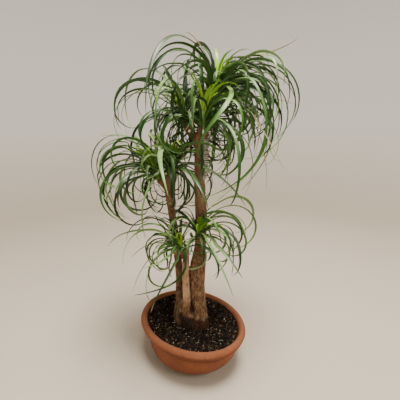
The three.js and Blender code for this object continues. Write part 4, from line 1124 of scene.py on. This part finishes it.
def shortenedLine(name, root, direction, rise, length, turn, lag, drift):
    # a leaf that would reach past the crown, as seen from the front, is shorter
    left, right, top = headPlans[name]["reach"]
    near, far = leafPlan["depth"]
    viewer = leafPlan["viewer"]
    while True:
        line = freeLine(name, root, direction, rise, length, turn, lag, drift)
        seen = line.copy()
        seen[:, 0] *= viewer / (viewer + line[:, 1])
        if not ((seen < (left, near, -math.inf)) | (seen > (right, far, top))).any():
            return line, length
        length *= 0.92


def rootReach(radius, share):
    # leaves are rooted well inside the core, which narrows upwards
    return radius * (0.62 - 0.3 * share)


def leafOf(name, kind, line, length, width, twist, age):
    return {"name": name, "kind": kind, "line": line, "length": length, "width": width, "twist": twist,
            "age": age}


def growPlaced(rows, seed, age):
    draw = drawFrom(seed)
    leaves = []
    for name, (direction, rise, length, turn, lag, drift, width, share) in rows:
        head = headPlans[name]
        height, radius = head["core"]
        root = headPoint(head, share * height, rootReach(radius, share), heading(direction, 0))
        line = freeLine(name, root, direction, rise, length, turn, lag, drift)
        leaves.append(leafOf(name, "leaves", line, length, width, draw(-90, 90), age))
    return leaves


def aimAt(head, around, spread):
    axis, across, along = headAxes(head)
    side = across * math.cos(around) + along * math.sin(around)
    towards = axis * math.cos(spread) + side * math.sin(spread)
    rise = math.degrees(math.asin(min(1, max(-1, towards[2]))))
    return side, rise, math.degrees(math.atan2(towards[1], towards[0]))


def growLeaves(name, head):
    draw = drawFrom(head["seed"])
    height, radius = head["core"]
    leaves = []
    for i in range(head["leaves"]):
        age = (i + 0.5) / head["leaves"]
        around = math.radians(i * leafPlan["golden"] + draw(-14, 14))
        side, rise, direction = aimAt(head, around, math.radians(12 + 62 * age + draw(-9, 9)))
        share = 0.86 - 0.62 * age
        root = headPoint(head, height * share, rootReach(radius, share), side)
        length = head["size"] * draw(400, 660) * (1 - 0.2 * age) * (0.8 + 0.2 * min(1, 4 * age))
        turn = 195 + 45 * age + draw(-25, 85)
        lag = 1.4 - 0.25 * age + draw(-0.3, 0.3)
        drift = draw(-70, 70)
        line, length = shortenedLine(name, root, direction, rise, length, turn, lag, drift)
        width = (14.5 - 3 * age) * draw(0.85, 1.15) * head["size"] ** 0.8
        leaf = leafOf(name, "leaves", line, length, width, draw(-110, 110), age)
        # the side towards the viewer has only placed leaves
        if abs(direction + 90) >= (45 if age > 0.55 else 32):
            leaves.append(leaf)
    return leaves


def growHeart(name, head):
    draw = drawFrom(head["seed"] + 1000)
    leaves = []
    for i in range(leafPlan["hearts"]):
        age = (i + 0.5) / leafPlan["hearts"]
        around = math.radians(i * leafPlan["golden"] + draw(-10, 10))
        side, rise, direction = aimAt(head, around, math.radians(4 + 11 * age))
        root = headPoint(head, head["core"][0] + 2.3, 3, side)
        length = head["size"] * (80 + 100 * age) * draw(0.9, 1.1)
        line = freeLine(name, root, direction, rise, length, 20 + 60 * age, 1.9, draw(-20, 20))
        leaves.append(leafOf(name, "heart", line, length, 12 * (0.6 + 0.4 * head["size"]), draw(-20, 20), 0.0))
    return leaves


def growMore(name, head):
    # thinner leaves between the others, and young ones round the heart
    draw = drawFrom(head["seed"] * 31 + 7)
    height, radius = head["core"]
    leaves = []
    for i in range(head["more"]):
        age = (i + draw()) / head["more"]
        around = math.radians(i * leafPlan["golden"] + 68 + draw(-25, 25))
        side, rise, direction = aimAt(head, around, math.radians(10 + 66 * age + draw(-10, 10)))
        share = 0.88 - 0.68 * age
        root = headPoint(head, height * share, rootReach(radius, share), side)
        length = head["size"] * draw(300, 640) * (1 - 0.22 * age)
        turn = 170 + 70 * age + draw(-50, 110)
        lag = 1.5 - 0.4 * age + draw(-0.3, 0.3)
        drift, width, twist = draw(-90, 90), draw(7.5, 12) * head["size"] ** 0.8, draw(-140, 140)
        if abs(direction + 90) < (50 if age > 0.5 else 36):
            continue
        line, length = shortenedLine(name, root, direction, rise, length, turn, lag, drift)
        nearY, lowZ, halfX = leafPlan["bareStems"]
        if not ((line[:, 1] < nearY) & (line[:, 2] < lowZ) & (abs(line[:, 0]) < halfX)).any():
            leaves.append(leafOf(name, "leaves", line, length, width, twist, age))
    for i in range(head["young"]):
        age = (i + 0.5) / head["young"]
        around = math.radians(i * leafPlan["golden"] + 40 + draw(-15, 15))
        side, rise, direction = aimAt(head, around, math.radians(3 + 16 * age + draw(-3, 3)))
        root = headPoint(head, head["core"][0] + 2 - 9 * age, 2 + 4 * age, side)
        length = head["size"] * (85 + 125 * age) * draw(0.85, 1.15)
        turn = 15 + 110 * age + draw(-10, 25)
        line = freeLine(name, root, direction, rise, length, turn, 1.9, draw(-25, 25))
        width = draw(10, 15) * head["size"] ** 0.8
        leaves.append(leafOf(name, "heart", line, length, width, draw(-30, 30), 0.0))
    return leaves


def closePairs(points, space):
    # pairs of points nearer than space, found by sorting them into cells
    cells = np.floor(points / space).astype(np.int64) + 500
    keys = (cells[:, 0] * 1000 + cells[:, 1]) * 1000 + cells[:, 2]
    order = np.argsort(keys, kind="stable")
    ranked = keys[order]
    firsts, seconds = [], []
    for n in range(27):
        shift = ((n % 3 - 1) * 1000 + (n // 3 % 3 - 1)) * 1000 + n // 9 - 1
        start = np.searchsorted(ranked, keys + shift, "left")
        count = np.searchsorted(ranked, keys + shift, "right") - start
        total = int(count.sum())
        if not total:
            continue
        a = np.repeat(np.arange(len(points)), count)
        skip = np.repeat(np.cumsum(count) - count, count)
        b = order[np.repeat(start, count) + np.arange(total) - skip]
        keep = b > a
        firsts.append(a[keep])
        seconds.append(b[keep])
    a, b = np.concatenate(firsts), np.concatenate(seconds)
    apart = np.linalg.norm(points[a] - points[b], axis=1)
    near = apart < space
    return a[near], b[near], np.maximum(apart[near], 1e-6)


def spreadLeaves(leaves, moving, clearance, rounds):
    # neighbours push each other apart a little each round; only the last ones move if moving > 0
    count = leafPlan["points"]
    place = np.array([leaf["line"] for leaf in leaves])
    reach = np.array([leaf["length"] * np.arange(count) / (count - 1) for leaf in leaves])
    held, run = leafPlan["held"]
    free = np.clip((reach - held) / run, 0, 1)    # roots stay where they are
    free[:moving] = 0
    free[[leaf["kind"] == "heart" for leaf in leaves]] = 0
    free = free.ravel()
    owner = np.repeat(np.arange(len(leaves)), count)
    name = np.array([ord(leaf["name"]) for leaf in leaves])[owner]
    young = np.array([leaf["kind"] == "heart" for leaf in leaves])[owner]
    flatReach = reach.ravel()
    for _ in range(rounds):
        points = place.reshape(-1, 3)
        a, b, apart = closePairs(points, clearance)
        zone = np.where(young[a] == young[b], *leafPlan["touching"])
        rooted = (name[a] == name[b]) & (flatReach[a] < zone) & (flatReach[b] < zone)
        keep = (owner[a] != owner[b]) & ~rooted & ((free[a] > 0) | (free[b] > 0))
        a, b, apart = a[keep], b[keep], apart[keep]
        force = (points[a] - points[b]) * ((clearance - apart) / 2 / apart)[:, None]
        push = np.zeros_like(points)
        hits = np.bincount(a, minlength=len(points)) + np.bincount(b, minlength=len(points))
        for axis in range(3):
            push[:, axis] += np.bincount(a, force[:, axis], len(points))
            push[:, axis] -= np.bincount(b, force[:, axis], len(points))
        push /= np.sqrt(np.maximum(hits, 1))[:, None]
        for pipe in pipes:
            away, distance, wanted = fromPipe(points, pipe, leafPlan["pipeSpace"])
            touched = distance < wanted
            if pipe[3]:
                touched &= name != ord(pipe[3])
            push[touched] += away[touched] * ((wanted - distance[touched]) / distance[touched])[:, None]
        push = (push * free[:, None]).reshape(place.shape)
        for _ in range(3):
            was = push.copy()
            push[:, 1:-1] = 0.25 * was[:, :-2] + 0.5 * was[:, 1:-1] + 0.25 * was[:, 2:]
            push[:, -1] = 0.5 * was[:, -2] + 0.5 * was[:, -1]
        place = place + leafPlan["step"] * push * free.reshape(len(leaves), count, 1)
    for leaf, line in zip(leaves, place):
        leaf["line"] = line


def bladeForm():
    # one strap, 2 wide and 1 long: a fine grid given its thickness
    bpy.ops.object.select_all(action="DESELECT")
    bpy.ops.mesh.primitive_grid_add(x_subdivisions=leafPlan["columns"], y_subdivisions=leafPlan["rows"],
                                    size=2)
    strap = bpy.context.object
    bpy.ops.object.mode_set(mode="EDIT")
    bpy.ops.transform.resize(value=(1, 0.5, 1), center_override=(0, 0, 0))
    bpy.ops.transform.translate(value=(0, 0.5, 0))
    bpy.ops.object.mode_set(mode="OBJECT")
    settleTransforms(strap)
    body = strap.modifiers.new("body", "SOLIDIFY")
    body.thickness = 0.02
    body.offset = 0
    bpy.ops.object.modifier_apply(modifier=body.name)
    return strap


def bladeFrames(line, twist):
    along = np.gradient(line, axis=0)
    along /= np.linalg.norm(along, axis=1)[:, None]
    across = np.zeros_like(line)
    side = np.cross([0, 0, 1], along[0])
    for k in range(len(line)):
        side = side - along[k] * (side @ along[k])
        side /= np.linalg.norm(side)
        across[k] = side
    under = np.cross(across, along)
    angle = np.radians(twist) * np.linspace(0, 1, len(line))[:, None] ** 0.6
    turnedAcross = across * np.cos(angle) - under * np.sin(angle)
    return turnedAcross, -np.cross(turnedAcross, along)


def bladeWidth(width, share):
    base = 1 + 0.25 * np.clip(1 - share / 0.1, 0, 1) ** 1.5
    return width * base * np.clip((1 - share) / 0.42, 0, 1) ** 0.8 + 0.5


def shownWidth(leaf):
    # the longest arching leaves are the narrowest
    length, width, share = leafPlan["narrowed"]
    return leaf["width"] * (share if leaf["length"] > length and leaf["width"] > width else 1)


def bendBlade(form, leaf, draw):
    # lays the strap's points along the leaf's own line
    u, s, side = form[:, 0], np.clip(form[:, 1], 0, 1), np.sign(form[:, 2])
    across, up = bladeFrames(leaf["line"], leaf["twist"])
    steps = np.linspace(0, 1, len(leaf["line"]))

    # rows of the leaf's line, read at each point of the strap
    def at(rows):
        return np.stack([np.interp(s, steps, rows[:, axis]) for axis in range(3)], axis=1)
    half = bladeWidth(shownWidth(leaf), s) / 2
    # a deep channel at the root opens towards the tip; edges wave a little
    channel = 0.62 - 0.30 * np.clip(s / 0.5, 0, 1)
    wave = draw(0.02, 0.10) * np.sin(s * draw(9, 20) + draw(0, 6)) * u
    rise = half * (channel * (u ** 2 - 0.45) + wave)
    edge, rib = leafPlan["edgeThickness"], leafPlan["ribThickness"]
    thick = edge + (rib - edge) * (1 - np.abs(u)) * (1 - 0.7 * s)
    rise = rise + side * thick / 2
    narrow = np.cos(channel * np.abs(u) * 0.9)
    # how far each point faces the sky, which sets the painted sheen
    slope = 2 * channel * u
    sky = np.clip(side * (at(up)[:, 2] - slope * at(across)[:, 2]) / np.hypot(1, slope), 0, 1)
    return at(leaf["line"]) + at(across) * (half * u * narrow)[:, None] + at(up) * rise[:, None], sky


def coreForm(head, young):
    # packed leaf bases, swollen below and closed on top
    height, radius = head["core"]
    _, across, along = headAxes(head)
    if young:
        rows = [[height + up, share] for up, share in
                ((0.3, 0.3), (5, 0.3), (10, 0.26), (15, 0.2), (20, 0.1))]
    else:
        rows = [[0.3, 0.62]] + [[up * height, share] for up, share in
                                ((0.1, 0.82), (0.2, 0.96), (0.33, 1.0), (0.45, 0.99), (0.6, 0.87), (0.75, 0.7),
                                 (0.9, 0.48), (1, 0.34))]
    sides = 20
    points, faces = [], []
    for r, (up, share) in enumerate(rows):
        for k in range(sides):
            angle = 2 * math.pi * k / sides
            side = across * math.cos(angle) + along * math.sin(angle)
            pleat = 1 + 0.05 * math.sin(5 * angle + r)
            points.append(headPoint(head, up, share * radius * pleat, side))
            if r < len(rows) - 1:
                a, b = r * sides + k, r * sides + (k + 1) % sides
                faces.append((a, b, b + sides, a + sides))
    faces.append(tuple(range(sides - 1, -1, -1)))
    faces.append(tuple(range((len(rows) - 1) * sides, len(rows) * sides)))
    return np.array(points), faces


def makeFoliage(name, kind, strap, leaves):
    form = readPoints(strap) * mm
    strapFaces = [tuple(p.vertices) for p in strap.data.polygons]
    mine = [leaf for leaf in leaves if leaf["name"] == name and leaf["kind"] == kind]
    plan = wearPlan
    draw = drawFrom(headPlans[name]["seed"] * 17 + (3 if kind == "heart" else 0))
    corePoints, coreFaces = coreForm(headPlans[name], kind == "heart")
    points, faces = [corePoints], list(coreFaces)
    place = [np.tile([0.5, 0.0, 0.5, 0.6], (len(corePoints), 1))]
    wearAndSheen = [np.tile([0.0, 0.0, 1.0, 1.0], (len(corePoints), 1))]
    start = len(corePoints)
    for leaf in mine:
        blade, sky = bendBlade(form, leaf, draw)
        points.append(blade)
        faces += [tuple(start + v for v in f) for f in strapFaces]
        start += len(form)
        u, s = form[:, 0] / 2 + 0.5, np.clip(form[:, 1], 0, 1)
        shade = clamped(draw() + (headPlans[name].get("paler", 0) if kind == "heart" else 0))
        place.append(np.c_[u, s, np.full(len(s), shade), np.full(len(s), leaf["age"])])
        dryFrom = draw(*plan["from"]) if draw() < plan["share"] and kind == "leaves" else plan["never"]
        if leaf["age"] > plan["old"] and draw() < plan["oldShare"]:
            dryFrom = draw(*plan["oldFrom"])
        if leaf["age"] == 1:
            dryFrom = plan["strayFrom"]
        dry = np.clip((s - dryFrom) / plan["fade"], 0, 1)
        top = (form[:, 2] > 0).astype(float)
        # dry tip, how far the point faces the sky for the painted sheen, and which side is the top
        wearAndSheen.append(np.c_[dry, sky, top, np.ones(len(s))])
    piece = meshFrom(("foliage" if kind == "leaves" else "young") + name, np.vstack(points), faces, 50)
    markPoints(piece, "leafPlace", np.vstack(place))
    markPoints(piece, "leafWear", np.vstack(wearAndSheen))
    return piece


def leafMaterial(name, young):
    # Living strap leaf with a waxy skin: satin on top, fine veins run its whole length
    material, tree, shader = newMaterial(name)
    place = addNode(tree, "Attribute", {"attribute_name": "leafPlace"})
    wearAndSheen = addNode(tree, "Attribute", {"attribute_name": "leafWear"})
    part = addNode(tree, "SeparateColor", {}, {"Color": place})
    wearAndSheenParts = addNode(tree, "SeparateColor", {}, {"Color": wearAndSheen})
    if young:
        greens = [(0.0, "#4c8410"), (0.3, "#80b614"), (0.65, "#a6d22c"), (1.0, "#cdea5c")]
        along = [(0.0, "#c8dc50"), (0.2, "#a4ce24"), (0.6, "#7ab01c"), (1.0, "#50841a")]
    else:
        greens = [(0.0, "#061602"), (0.4, "#102f08"), (0.66, "#2c6012"), (0.84, "#62963a"), (1.0, "#a2c272")]
        along = [(0.0, "#6f8a3c"), (0.04, "#2c4c1a"), (0.14, "#0c2606"), (0.8, "#173c0c"), (1.0, "#34581c")]
    ownGreen = addNode(tree, "ValToRGB", {"stops": greens}, {"Fac": (part, "Blue")})
    alongGreen = addNode(tree, "ValToRGB", {"stops": along}, {"Fac": (part, "Green")})
    green = addNode(tree, "Mix", {"data_type": "RGBA", "Factor": 0.5}, {"A": ownGreen, "B": alongGreen})
    veinPlace = addNode(tree, "CombineXYZ", {},
                        {"X": (part, "Red"), "Y": (part, "Green"), "Z": (part, "Blue")})
    stretch = addNode(tree, "Mapping", {"Scale": (14.0, 5.0, 90.0)}, {"Vector": veinPlace})
    veins = addNode(tree, "TexNoise", {"Scale": 1.0, "Detail": 3.0, "Roughness": 0.6},
                    {"Vector": stretch})  # veins about 0.7 mm apart, drawn a little coarser
    veinTone = addNode(tree, "ValToRGB", {"stops": [(0.35, 0.62), (0.65, 1.0)]}, {"Fac": veins})
    striped = addNode(tree, "Mix", {"data_type": "RGBA", "blend_type": "MULTIPLY", "Factor": 0.55},
                      {"A": green, "B": veinTone})
    under = addNode(tree, "Math", {"operation": "SUBTRACT", 0: 1.0}, {1: (wearAndSheenParts, "Blue")})
    pale = addNode(tree, "Math", {"operation": "MULTIPLY", 1: 0.3}, {0: under})
    backed = addNode(tree, "Mix", {"data_type": "RGBA", "B": "#5c7a45"},
                     {"Factor": pale, "A": striped})  # underside is paler and duller
    # painted sheen: the side that faces the sky is lightened towards a pale grey-green, more on some leaves, in
    # place of the overhead light's highlight
    lifted = addNode(tree, "Math", {"operation": "POWER", 1: 2.1}, {0: (wearAndSheenParts, "Green")})
    paintedSheenLevel = addNode(tree, "MapRange", {"To Min": 0.08, "To Max": 0.4 if young else 0.82},
                         {"Value": (part, "Blue")})
    paintedSheen = addNode(tree, "Math", {"operation": "MULTIPLY"}, {0: lifted, 1: paintedSheenLevel})
    withPaintedSheen = addNode(tree, "Mix", {"data_type": "RGBA", "B": "#cfe65c" if young else "#a8c67e"},
                    {"Factor": paintedSheen, "A": backed})
    dried = addNode(tree, "Mix", {"data_type": "RGBA", "B": "#98835c"}, {"Factor": (wearAndSheenParts, "Red"), "A": withPaintedSheen})
    bump = addNode(tree, "Bump", {"Strength": 0.25, "Distance": 0.0003}, {"Height": veins})
    setNode(tree, shader, {"Roughness": 0.34, "Specular IOR Level": 0.28},
            {"Base Color": dried, "Normal": bump})
    return material


pipes = makePipes()
leaves = growPlaced([(name, row) for name, rows in longLeaves.items() for row in rows], 5, 0.35)
for name, head in headPlans.items():
    leaves += growLeaves(name, head) + growHeart(name, head)
spreadLeaves(leaves, 0, leafPlan["clearance"], leafPlan["rounds"])
print("main leaves spread:", len(leaves))
settled = len(leaves)
leaves += growPlaced(strayLeaves, 7, 1.0)
for name, head in headPlans.items():
    leaves += growMore(name, head)
spreadLeaves(leaves, settled, leafPlan["moreClearance"], leafPlan["moreRounds"])
print("thin leaves spread:", len(leaves) - settled)
strap = bladeForm()
matureFinish = leafMaterial("matureLeaf", False)
youngFinish = leafMaterial("youngLeaf", True)
for name in headPlans:
    finishPiece(makeFoliage(name, "leaves", strap, leaves), matureFinish, "leaves_" + name)
    finishPiece(makeFoliage(name, "heart", strap, leaves), youngFinish, "heart_" + name)
bpy.data.objects.remove(strap)
print("foliage done")
